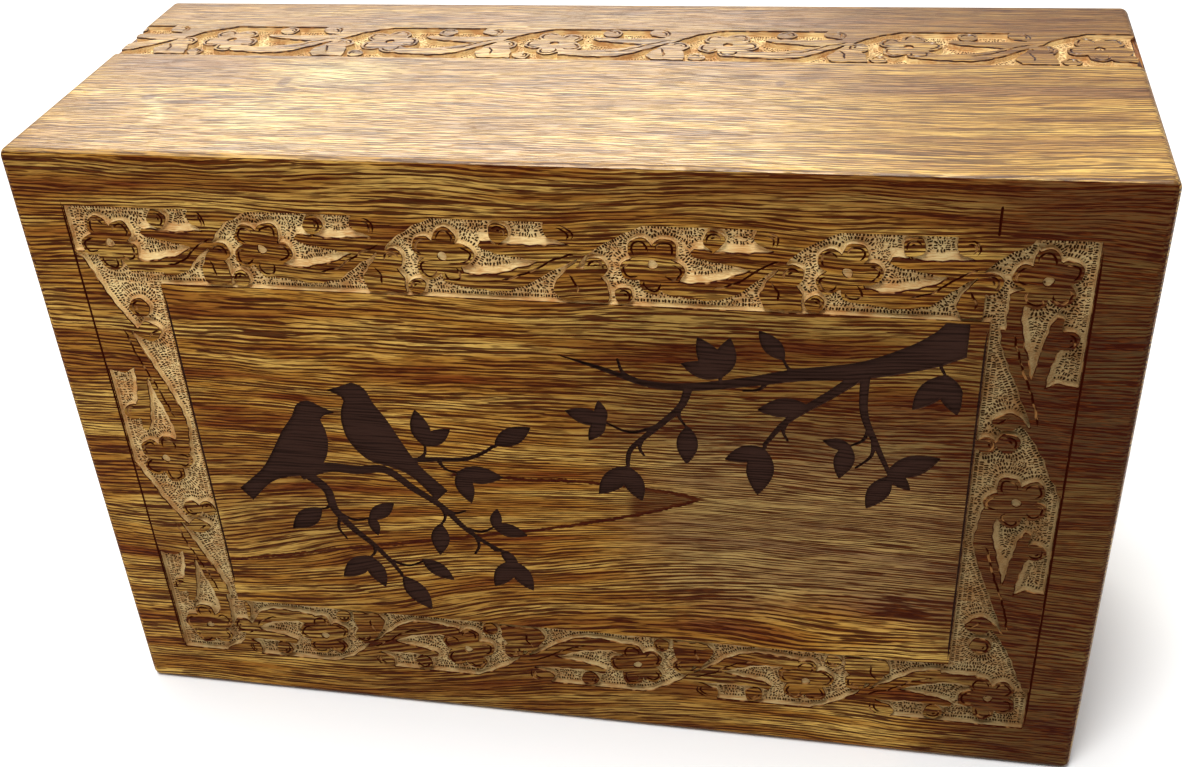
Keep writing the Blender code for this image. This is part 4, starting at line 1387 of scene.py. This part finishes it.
class Value:
    """A socket in a finish. Arithmetic on it adds the nodes that work it out."""

    def __init__(self, finish, socket):
        self.finish, self.socket = finish, socket

    def worked(self, operation, *values, **settings):
        """What a Math node makes of some values."""
        sockets = {i: v for i, v in enumerate(values)}
        return self.finish.node("ShaderNodeMath", {"operation": operation, **settings}, sockets)[0]

    def __add__(self, other):
        return self.worked("ADD", self, other)

    def __sub__(self, other):
        return self.worked("SUBTRACT", self, other)

    def __rsub__(self, other):
        return self.worked("SUBTRACT", other, self)

    def __mul__(self, other):
        return self.worked("MULTIPLY", self, other)

    def __truediv__(self, other):
        return self.worked("DIVIDE", self, other)

    def __pow__(self, other):
        return self.worked("POWER", self, other)

    __radd__, __rmul__ = __add__, __mul__

    def sine(self):
        return self.worked("SINE", self)

    def absolute(self):
        return self.worked("ABSOLUTE", self)

    def most(self, other):
        return self.worked("MAXIMUM", self, other)

    def clamped(self):
        return self.worked("ADD", self, 0.0, use_clamp=True)

    def rise(self, low, high):
        """0 below low and 1 above high, smooth between them."""
        settings = {"interpolation_type": "SMOOTHSTEP"}
        return self.finish.node("ShaderNodeMapRange", settings, {0: self, 1: low, 2: high})[0]

    def between(self, low, high, soft):
        """1 between two values, with soft ends."""
        return self.rise(low - soft, low + soft) * (1 - self.rise(high - soft, high + soft))


class Finish:
    """One material, and the ways in which its nodes are made."""

    def __init__(self, name):
        self.material = bpy.data.materials.new(name)
        self.material.use_nodes = True
        self.tree = self.material.node_tree
        self.shader = self.tree.nodes["Principled BSDF"]

    def link(self, socket, value):
        if isinstance(value, Value):
            self.tree.links.new(value.socket, socket)
        elif hasattr(value, "__len__") and len(value) == 3 and socket.type == "RGBA":
            socket.default_value = (*value, 1)
        else:
            socket.default_value = value

    def node(self, kind, settings=None, sockets=None):
        """A node of any type, its settings first, and its outputs as values."""
        node = self.tree.nodes.new(kind)
        for key, value in (settings or {}).items():
            setattr(node, key, value)
        for key, value in (sockets or {}).items():
            self.link(node.inputs[key], value)
        return [Value(self, output) for output in node.outputs]

    def place(self):
        """Where a point of the object is, in millimetres along x, y and z."""
        here = self.node("ShaderNodeTexCoord")[3]
        x, y, z = self.node("ShaderNodeSeparateXYZ", None, {0: here})
        return x * 1000, y * 1000, z * 1000

    def noise(self, x, y, z, detail=2.0, roughness=0.5):
        at = self.node("ShaderNodeCombineXYZ", None, {0: x, 1: y, 2: z})[0]
        sockets = {"Vector": at, "Scale": 1.0, "Detail": detail, "Roughness": roughness}
        return self.node("ShaderNodeTexNoise", None, sockets)[0]

    def mixed(self, share, a, b):
        """One colour with a share of another laid over it."""
        return self.node("ShaderNodeMix", {"data_type": "RGBA"}, {0: share, 6: a, 7: b})[2]

    def ramp(self, value, stops):
        outputs = self.node("ShaderNodeValToRGB", None, {0: value})
        ramp = outputs[0].socket.node.color_ramp
        while len(ramp.elements) < len(stops):
            ramp.elements.new(0.5)
        for element, (position, color) in zip(ramp.elements, stops):
            element.position, element.color = position, (*color, 1)
        return outputs[0]

    def curve(self, value, points, low, high):
        """A number read off a smooth line through points, all between low and high."""
        share = self.node("ShaderNodeMapRange", None, {0: value, 1: low[0], 2: high[0]})[0]
        outputs = self.node("ShaderNodeFloatCurve", None, {1: share})
        line = outputs[0].socket.node.mapping
        spots = [((x - low[0]) / (high[0] - low[0]), (y - low[1]) / (high[1] - low[1])) for x, y in points]
        while len(line.curves[0].points) < len(spots):
            line.curves[0].points.new(0.5, 0.5)
        for point, spot in zip(line.curves[0].points, spots):
            point.location = spot
        line.update()
        return outputs[0] * (high[1] - low[1]) + low[1]

    def bump(self, height, distance, strength=1.0):
        sockets = {"Strength": strength, "Distance": distance, "Height": height}
        return self.node("ShaderNodeBump", None, sockets)[0]

    def coat(self, color, roughness, normal=None, **constants):
        self.link(self.shader.inputs["Base Color"], color)
        self.link(self.shader.inputs["Roughness"], roughness)
        if normal is not None:
            self.link(self.shader.inputs["Normal"], normal)
        for name, value in constants.items():
            self.shader.inputs[name.replace("_", " ")].default_value = value
        return self.material


def srgb(r, g, b):
    """A colour given in the numbers of a colour chart, 0 to 255, as light."""
    def light(c):
        c /= 255
        return c / 12.92 if c <= 0.04045 else ((c + 0.055) / 1.055) ** 2.4
    return light(r), light(g), light(b)


# The darkest stain of the grain, also laid in the cuts as painted shade
DARK_STAIN_AND_SHADE = srgb(52, 10, 0)
STAIN_DEEP = srgb(116, 58, 16)
STAIN_GOLD = srgb(164, 115, 43)
STAIN_LIGHT = srgb(207, 166, 84)
RAW_LIGHT = srgb(234, 206, 146)
RAW_DARK = srgb(186, 134, 78)
PIT_SHADE = srgb(62, 24, 2)
BURNT_DARK = srgb(22, 11, 7)
BURNT_LIGHT = srgb(52, 33, 26)
FALLOFF_SHADE = srgb(70, 44, 24)
LINE_TIP = srgb(72, 36, 14)
BAND_SHADE = srgb(70, 36, 16)
UPPER_EDGE_BROWN = srgb(84, 48, 22)
PAINTED_TOP_LIGHT = srgb(228, 188, 108)
PALE_WOOD = srgb(250, 230, 164)
KNOT_HEART = srgb(84, 46, 24)
OLIVE = srgb(142, 120, 80)
LOW_SHADE = srgb(92, 56, 22)
PATCH_BROWN = srgb(84, 50, 22)
UPPER_RIGHT_SHADE = srgb(50, 28, 16)
END_TONE_AND_SHADE = srgb(56, 38, 24)
BACK_HALF_SHADE = srgb(120, 72, 34)
STREAK_PURPLE = srgb(104, 62, 52)
PATCH_PURPLE = srgb(120, 76, 54)
REAR_STRIP_SHADE = srgb(112, 72, 36)
BACK_CORNER_SHADE = srgb(100, 62, 34)

# The depths, in millimetres, over which each finish begins to show. The dark of the cuts and of the pits is
# painted shade.
CUT_SHADE_SHOWS = (0.04, 0.14)
BURNT_SHOWS = (0.03, 0.2)
RAW_SHOWS = (0.4, 0.55)
PIT_SHADE_SHOWS = (CARVED_DEPTH + 0.02, CARVED_DEPTH + 0.09)
ZONE_SOFT = 0.05
ZONE_MARGIN = 0.1
FACE_SOFT = 0.1
FACE_MARGIN = 6
FACE_MARGIN_TOP = 5

# How deep a bump is, in metres
PORE_DEPTH = 0.00012
SCUFF_DEPTH = 0.00003

# The sizes of the grain's marks, in millimetres along and across it
DRIFT = (95, 34)
WAVE = (21, 8)
FIGURE = (62, 6.5)
WANDER = (11, 2.5)
RING_PITCH = 1.15
BROKEN = (24, 0.74)
PORES = (9, 0.42)
FINE_PORES = (3.5, 0.28)


class Grain:
    """Wood grain in a finish. along, across and through are a board's own directions, in mm."""

    def __init__(self, finish, along, across, through, seed, lift=0.0):
        def marks(size, *fineness):
            at = along / size[0] + seed, across / size[1], through / size[1]
            return finish.noise(*at, *fineness)

        across = across + 13 * (marks(DRIFT, 1.0) - 0.5) - lift
        across = across + 1.6 * (marks(WAVE, 1.0) - 0.5)
        self.figure = marks(FIGURE, 3.0, 0.6)
        drawn = across + 0.7 * (marks(WANDER, 1.0) - 0.5)
        rings = (drawn * (2 * math.pi / RING_PITCH)).sine()
        self.streak = rings * 0.17 + (marks(BROKEN, 2.0, 0.6) - 0.5) * 1.6
        self.pores = marks(PORES, 2.0, 0.55)
        self.fine = marks(FINE_PORES, 1.0)


def wood_finish(name, axes, seed, tint=None, dress=None, gloss=0.34, shine=0.3, streaky=0.94, lift=None):
    """Stained and varnished hardwood. axes gives which of x, y and z run along and across the grain."""
    finish = Finish(name)
    here = finish.place()
    along, across, through = (here[i] for i in axes)
    grain = Grain(finish, along, across, through, seed, lift(here) if lift else 0.0)
    color = finish.ramp(grain.figure, ((0.32, STAIN_DEEP), (0.48, STAIN_GOLD), (0.64, STAIN_LIGHT)))
    if tint is not None:
        color = tint(finish, here, color)
    dashes = grain.pores.rise(0.5, 0.57)
    color = finish.mixed(grain.streak.rise(0.0, 0.075) * streaky, color, DARK_STAIN_AND_SHADE)
    color = finish.mixed(dashes * streaky * 0.7, color, DARK_STAIN_AND_SHADE)
    color = finish.mixed(grain.fine.rise(0.5, 0.7) * 0.35, color, STAIN_DEEP)
    roughness = gloss + 0.14 * dashes + 0.08 * (grain.fine - 0.5)
    if dress is not None:
        color, roughness = dress(finish, here, grain, color, roughness)
    normal = finish.bump(1 - dashes, PORE_DEPTH, 0.6)
    return finish.coat(color, roughness, normal, Specular_IOR_Level=shine, IOR=1.5)


def raw_wood(finish, here, grain, depth):
    """The pale wood that the tools laid open, with painted shade in the pits of the gouge ticks."""
    x, y, z = here
    patches = finish.noise(x / 6, y / 6, z / 6, 2.0)
    tone = (grain.fine * 0.5 + patches * 0.6 - 0.05).clamped()
    color = finish.mixed(tone.rise(0.3, 0.7), RAW_DARK, RAW_LIGHT)
    # Painted shade in the pits of the ticks
    return finish.mixed(depth.rise(*PIT_SHADE_SHOWS) * 0.92, color, PIT_SHADE)


def shaded_cut(finish, here):
    """The colour painted in a cut and on the lip of a carved wall: painted shade, dark, with bare wood here
    and there.
    """
    x, y, z = here
    bare = finish.noise(x / 3, y / 3, z / 3, 1.0).rise(0.52, 0.64)
    return finish.mixed(bare * 0.6, DARK_STAIN_AND_SHADE, RAW_DARK)


# The knots of the top: from the left and the back edge, and half their width and height
KNOTS = (
    (62.2, 65.7, 2.2, 3.9),
    (64.6, 71.4, 4.6, 1.7),
    (26.7, 78.4, 2.4, 2.6),
    (45.5, 69.0, 2.4, 1.0),
    (199, 61.5, 1.5, 2.2),
)

# Past the edges of every face, for an area that has no end there
OPEN = 10000

# Areas of other tones, in the order that they are laid: each one's two ranges, its strength and its
# tone. A range is where it begins and ends, how soft its ends are, and how far a cloud sways them.
# The front's are from its left and its lower edge.
FRONT_OLIVE = (((168, 262, 18, 30), (54, 120, 13, 22), 0.68, OLIVE),)
FRONT_DARKER = (
    # Painted shade: the lower front darker
    ((60, 190, 30, 0), (-OPEN, 54, 30, 20), 0.45, LOW_SHADE),
    ((34, 84, 14, 0), (58, 98, 10, 16), 0.38, PATCH_BROWN),
    # Painted shade in the upper right of the panel
    ((147.5, OPEN, 37.5, 0), (106, 152, 9, 22), 0.6, UPPER_RIGHT_SHADE),
    # The right end: darker in its own tone and with painted shade
    ((254, OPEN, 16, 26), (-OPEN, OPEN, 1, 0), 0.82, END_TONE_AND_SHADE),
)
# The top's are from its left and its back edge
TOP_PALE = (
    ((60, 90, 11, 22), (50, 67, 5, -10), 1.0),
    ((52, 72, 9, 22), (80, 98, 6, -10), 0.8),
)
TOP_DARKER = (
    # Painted shade: darker towards the back
    ((-OPEN, OPEN, 1, 0), (-OPEN, 55, 45, 0), 0.3, BACK_HALF_SHADE),
    ((213, OPEN, 9, 0), (60, 67, 2, 0), 0.6, STREAK_PURPLE),
    ((6, 48, 6, 0), (48, 64, 3, 0), 0.4, PATCH_PURPLE),
    # Painted shade along the right part of the back edge
    ((100, 300, 24, 0), (-OPEN, 28, 12, 0), 0.22, REAR_STRIP_SHADE),
    # Painted shade in the back right corner
    ((210, OPEN, 40, 0), (-OPEN, 23, 13, 0), 0.45, BACK_CORNER_SHADE),
)

# The front's dark mineral line, which folds back at its tip: each part's points, the lower left
# corner of the box that holds them, and where it begins
LINE_TIP_LEFT = 183.3
LINE_TOP = 100
MINERAL_LINE = (
    (((0, 44), (37.7, 53.9), (101.1, 67.7), (155.6, 80.5), (LINE_TIP_LEFT, 90.8)), (0, 40), 20),
    (((105, 93.5), (130, 93.2), (160, 93.8), (LINE_TIP_LEFT, 90.8)), (105, 80), 112),
)


def area(first, second, cloud, ranges):
    """1 inside both of an area's ranges, its edges swayed by a cloud."""
    share = 1.0
    for position, (begin, end, soft, sway) in zip((first, second), ranges):
        if (begin, end) != (-OPEN, OPEN):
            share = share * (position + sway * cloud if sway else position).between(begin, end, soft)
    return share


def toned(finish, color, first, second, cloud, areas):
    """A colour with areas of other tones laid over it."""
    for *ranges, strength, tone in areas:
        color = finish.mixed(area(first, second, cloud, ranges) * strength, color, tone)
    return color


def border_zones(here):
    """1 inside the outer edge of the carved border, and 1 inside its inner edge."""
    x, _, z = here
    low, high, inner_low, inner_high = border_rectangles()
    margin = Vector((ZONE_MARGIN, ZONE_MARGIN))
    return [
        x.between(a.x, b.x, ZONE_SOFT) * z.between(a.y, b.y, ZONE_SOFT)
        for a, b in ((low - margin, high + margin), (inner_low, inner_high))
    ]


def front_dress(finish, here, grain, color, roughness):
    """The carved border and the burnt picture of the front, with painted shade in its cuts, on the lips of
    its carved walls, and on its bare wood towards the bottom and the right end.
    """
    x, y, z = here
    depth = y + DEPTH / 2
    in_band, in_panel = border_zones(here)
    across, up = WIDTH / 2 - FACE_MARGIN, HEIGHT - FACE_MARGIN_TOP
    on_face = x.between(-across, across, FACE_SOFT) * z.between(FACE_MARGIN, up, FACE_SOFT)
    # Painted shade: every cut on the face is dark down to where the bare wood shows, the lips of the carved
    # walls too
    dark = finish.mixed(in_band, DARK_STAIN_AND_SHADE, shaded_cut(finish, here))
    color = finish.mixed(depth.rise(*CUT_SHADE_SHOWS) * on_face, color, dark)
    raw = depth.rise(*RAW_SHOWS) * in_band * (1 - in_panel)
    burnt = depth.rise(*BURNT_SHOWS) * in_panel
    # Painted shade on the bare wood: darker towards the bottom and towards the right end
    shade_low = 0.4 * (1 - z.rise(20, 140))
    shade_right = (x + WIDTH / 2).rise(200, 262) * (0.66 - 0.2 * z.rise(140, 165))
    bare = finish.mixed(shade_low.most(shade_right), raw_wood(finish, here, grain, depth), FALLOFF_SHADE)
    color = finish.mixed(raw, color, bare)
    soot = finish.mixed(grain.streak.rise(-0.1, 0.3) * 0.7, BURNT_LIGHT, BURNT_DARK)
    return finish.mixed(burnt, color, soot), roughness + raw * 0.35 + burnt * 0.3


def top_dress(finish, here, grain, color, roughness):
    """The dark hearts of the knots and the carved band of the top, with painted shade in its cuts and on the
    lips of its walls.
    """
    x, y, z = here
    depth = HEIGHT - z
    for left, back, wide, tall in KNOTS:
        a, b = (x + (WIDTH / 2 - left)) / wide, (y - (DEPTH / 2 - back)) / tall
        near = 1 - ((a * a + b * b) ** 0.5 + 1.2 * (grain.pores - 0.5)).rise(0.5, 1.1)
        color = finish.mixed(near * 0.7, color, KNOT_HEART)
    in_band = y.between(BAND_MIDDLE - BAND_WIDTH / 2, BAND_MIDDLE + BAND_WIDTH / 2, ZONE_SOFT)
    raw = depth.rise(*RAW_SHOWS) * in_band
    # Painted shade in the band's cuts and on the lips of its walls
    color = finish.mixed(depth.rise(*CUT_SHADE_SHOWS) * in_band, color, shaded_cut(finish, here))
    return finish.mixed(raw, color, raw_wood(finish, here, grain, depth)), roughness + raw * 0.35


def front_lift(here):
    """How far the grain of the front climbs to the right, below its mineral line."""
    x, _, z = here
    return 24 * (x + WIDTH / 2).rise(20, 200) * (1 - z.rise(62, 112)) * (0.7 + 0.3 * z.rise(10, 60))


def mineral_line(finish, here, color):
    """The dark line with its ragged edge, and the brown wood inside its tip."""
    x, _, up = here
    left = x + WIDTH / 2
    bends = finish.noise(x / 7, up / 7, 3.0, 2.0) - 0.5
    jags = finish.noise(x / 1.8, up / 1.8, 5.0, 2.0) - 0.5
    heights = []
    for points, corner, start in MINERAL_LINE:
        height = finish.curve(left, points, corner, (LINE_TIP_LEFT, LINE_TOP))
        away = (up - height - 1.8 * bends - 1.4 * jags).absolute()
        mark = (1 - away.rise(0.4, 0.8)) * left.between(start, LINE_TIP_LEFT + 0.7, 2)
        color = finish.mixed(mark, color, DARK_STAIN_AND_SHADE)
        heights.append(height)
    lower, upper = heights
    inside = (up - lower).rise(-0.5, 0.5) * (upper - up).rise(-0.5, 0.5)
    tip = left.between(164, LINE_TIP_LEFT + 0.2, 2) * inside
    return finish.mixed(tip * 0.8, color, LINE_TIP)


def front_tint(finish, here, color):
    """The figure of the front: a dark mineral line, an olive zone and a darker upper edge.

    Painted shade darkens it towards the bottom, in the upper right of the panel, on the carved border
    and at the right end, which is also darker in its own tone.
    """
    x, _, up = here
    left = x + WIDTH / 2
    cloud = finish.noise(x / 30, up / 14, 0.0, 2.0) - 0.5
    color = toned(finish, color, left, up, cloud, FRONT_OLIVE)
    color = mineral_line(finish, here, color)
    color = toned(finish, color, left, up, cloud, FRONT_DARKER)
    in_band, in_panel = border_zones(here)
    # Painted shade on the standing wood of the carved border, stronger towards the bottom
    band_shading = (in_band - in_panel) * (0.18 + 0.2 * (1 - up.rise(20, 140)))
    color = finish.mixed(band_shading, color, BAND_SHADE)
    # Darker along the upper edge, more so towards the right
    return finish.mixed(up.rise(166, 185) * (0.3 + 0.4 * left.rise(120, 240)), color, UPPER_EDGE_BROWN)


def top_tint(finish, here, color):
    """The figure of the top: paler wood round the knots, a purple streak and a darker patch.

    Painted light makes the whole top paler, and painted shade darkens it towards its back and right end.
    """
    x, y, _ = here
    left, back = x + WIDTH / 2, DEPTH / 2 - y
    cloud = finish.noise(x / 10, y / 6, 7.0, 2.0) - 0.5
    slanted = (left + 22 * cloud - 0.45 * back).between(-11, -3, 3)
    pale = slanted * back.between(79, 94, 3)
    for *ranges, strength in TOP_PALE:
        pale = pale.most(area(left, back, cloud, ranges) * strength)
    # Painted light: the whole top made paler, as it is lit more than the front
    color = finish.mixed(0.36, color, PAINTED_TOP_LIGHT)
    color = finish.mixed(pale * 0.5, color, PALE_WOOD)
    return toned(finish, color, left, back, cloud, TOP_DARKER)


def steel_finish():
    finish = Finish("screw_steel")
    x, y, z = finish.place()
    scuff = finish.noise(x / 0.5, y / 0.12, z / 0.5, 3.0)
    color = finish.mixed(scuff, srgb(150, 150, 152), srgb(196, 196, 198))
    return finish.coat(color, 0.28 + 0.2 * scuff, finish.bump(scuff, SCUFF_DEPTH), Metallic=1.0)


def floor_finish():
    finish = Finish("studio_floor")
    x, y, z = finish.place()
    cloud = finish.noise(x / 300, y / 300, z / 300, 2.0)
    color = finish.mixed(cloud, (0.91, 0.91, 0.91), (0.94, 0.94, 0.94))
    return finish.coat(color, 0.75)


# The studio


# Each light's name, place, target, size, power and colour
LIGHTS = (
    ("back_window", (-0.62, 1.7, 1.36), (0.0, -0.03, 0.19), (1.35, 0.9), 27, (1.0, 0.96, 0.87)),
    ("overhead", (-0.1, 0.1, 1.7), (0, 0, 0.1), (1.0, 1.0), 17, (1, 1, 1)),
    ("front_key", (-0.12, -0.52, 1.3), (0, -0.05, 0.1), (0.4, 0.4), 12, (1, 1, 1)),
)
FLOOR_REACH = 6
WORLD_STRENGTH = 0.34


def area_light(name, place, target, size, power, color):
    light = bpy.data.lights.new(name, "AREA")
    light.shape = "RECTANGLE"
    light.size, light.size_y = size
    light.energy = power
    light.color = color
    made = bpy.data.objects.new(name, light)
    made.location = place
    made.rotation_euler = (Vector(target) - made.location).to_track_quat("-Z", "Y").to_euler()
    bpy.context.scene.collection.objects.link(made)


def studio():
    floor_mesh = bpy.data.meshes.new("studio_floor")
    corners = [(FLOOR_REACH * x, FLOOR_REACH * y, 0) for x, y in ((-1, -1), (1, -1), (1, 1), (-1, 1))]
    floor_mesh.from_pydata(corners, [], [(0, 1, 2, 3)])
    floor = bpy.data.objects.new("studio_floor", floor_mesh)
    floor_mesh.materials.append(floor_finish())
    bpy.context.scene.collection.objects.link(floor)

    world = bpy.data.worlds.new("studio")
    bpy.context.scene.world = world
    world.use_nodes = True
    background = world.node_tree.nodes["Background"]
    background.inputs[0].default_value = (1, 1, 1, 1)
    background.inputs[1].default_value = WORLD_STRENGTH
    bpy.context.scene.view_settings.view_transform = "Standard"
    for light in LIGHTS:
        area_light(*light)


CAMERA_PLACE = (0.0781213, -0.3769314, 0.3387149)
CAMERA_RIGHT = Vector((0.97789268, 0.19927544, -0.06336568))
CAMERA_UP = Vector((-0.06377053, 0.57279540, 0.81721403))
CAMERA_BACK = Vector((0.19914625, -0.79510675, 0.57284031))
CAMERA_LENS = 44.84
CAMERA_SHIFT = (0.0312935, 0.0453596)


def camera():
    lens = bpy.data.cameras.new("camera")
    lens.sensor_width = 36
    lens.lens = CAMERA_LENS
    lens.shift_x, lens.shift_y = CAMERA_SHIFT
    lens.clip_start = 0.01
    made = bpy.data.objects.new("camera", lens)
    turn = Matrix((CAMERA_RIGHT, CAMERA_UP, CAMERA_BACK)).transposed().to_4x4()
    made.matrix_world = Matrix.Translation(CAMERA_PLACE) @ turn
    bpy.context.scene.collection.objects.link(made)
    bpy.context.scene.camera = made


def keep(piece, node, material, slot):
    """A piece takes a CAD node's place, rides with it and wears a finish."""
    piece.data.materials.clear()
    piece.data.materials.append(material)
    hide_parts(node)
    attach(piece, "root")


def main():
    camera()
    studio()
    front_wood = wood_finish(
        "front_wood", (0, 2, 1), 0.0, front_tint, front_dress, gloss=0.46, shine=0.03, lift=front_lift
    )
    # The top's fainter streaks are painted light too
    top_wood = wood_finish(
        "top_wood", (0, 1, 2), 4.7, top_tint, top_dress, gloss=0.32, shine=0.5, streaky=0.75
    )
    side_wood = wood_finish("side_wood", (1, 2, 0), 9.3)
    back_wood = wood_finish("back_wood", (0, 2, 1), 14.1)
    plate_wood = wood_finish("plate_wood", (0, 1, 2), 21.9, gloss=0.5)
    boards = (
        (front_board, front_wood, "front_wood", ("front_panel", (1, 0, 0), (0, -1, 0))),
        (top_board, top_wood, "top_wood", ("top_panel", (1, 0, 0), (0, 0, 1), False)),
        (plain_board, back_wood, "box_wood", ("back_panel", (-1, 0, 0), (0, 1, 0))),
        (side_board, side_wood, "box_wood", ("left_side", (0, -1, 0), (-1, 0, 0))),
        (side_board, side_wood, "box_wood", ("right_side", (0, 1, 0), (1, 0, 0))),
    )
    for made_by, wood, slot, sides in boards:
        keep(made_by(Board(*sides)), sides[0], wood, slot)
    keep(make_plate(), "bottom_plate", plate_wood, "plate_wood")
    steel = steel_finish()
    for name, x, y in screw_spots():
        keep(make_screw(name, x, y), name, steel, "screw_steel")


main()
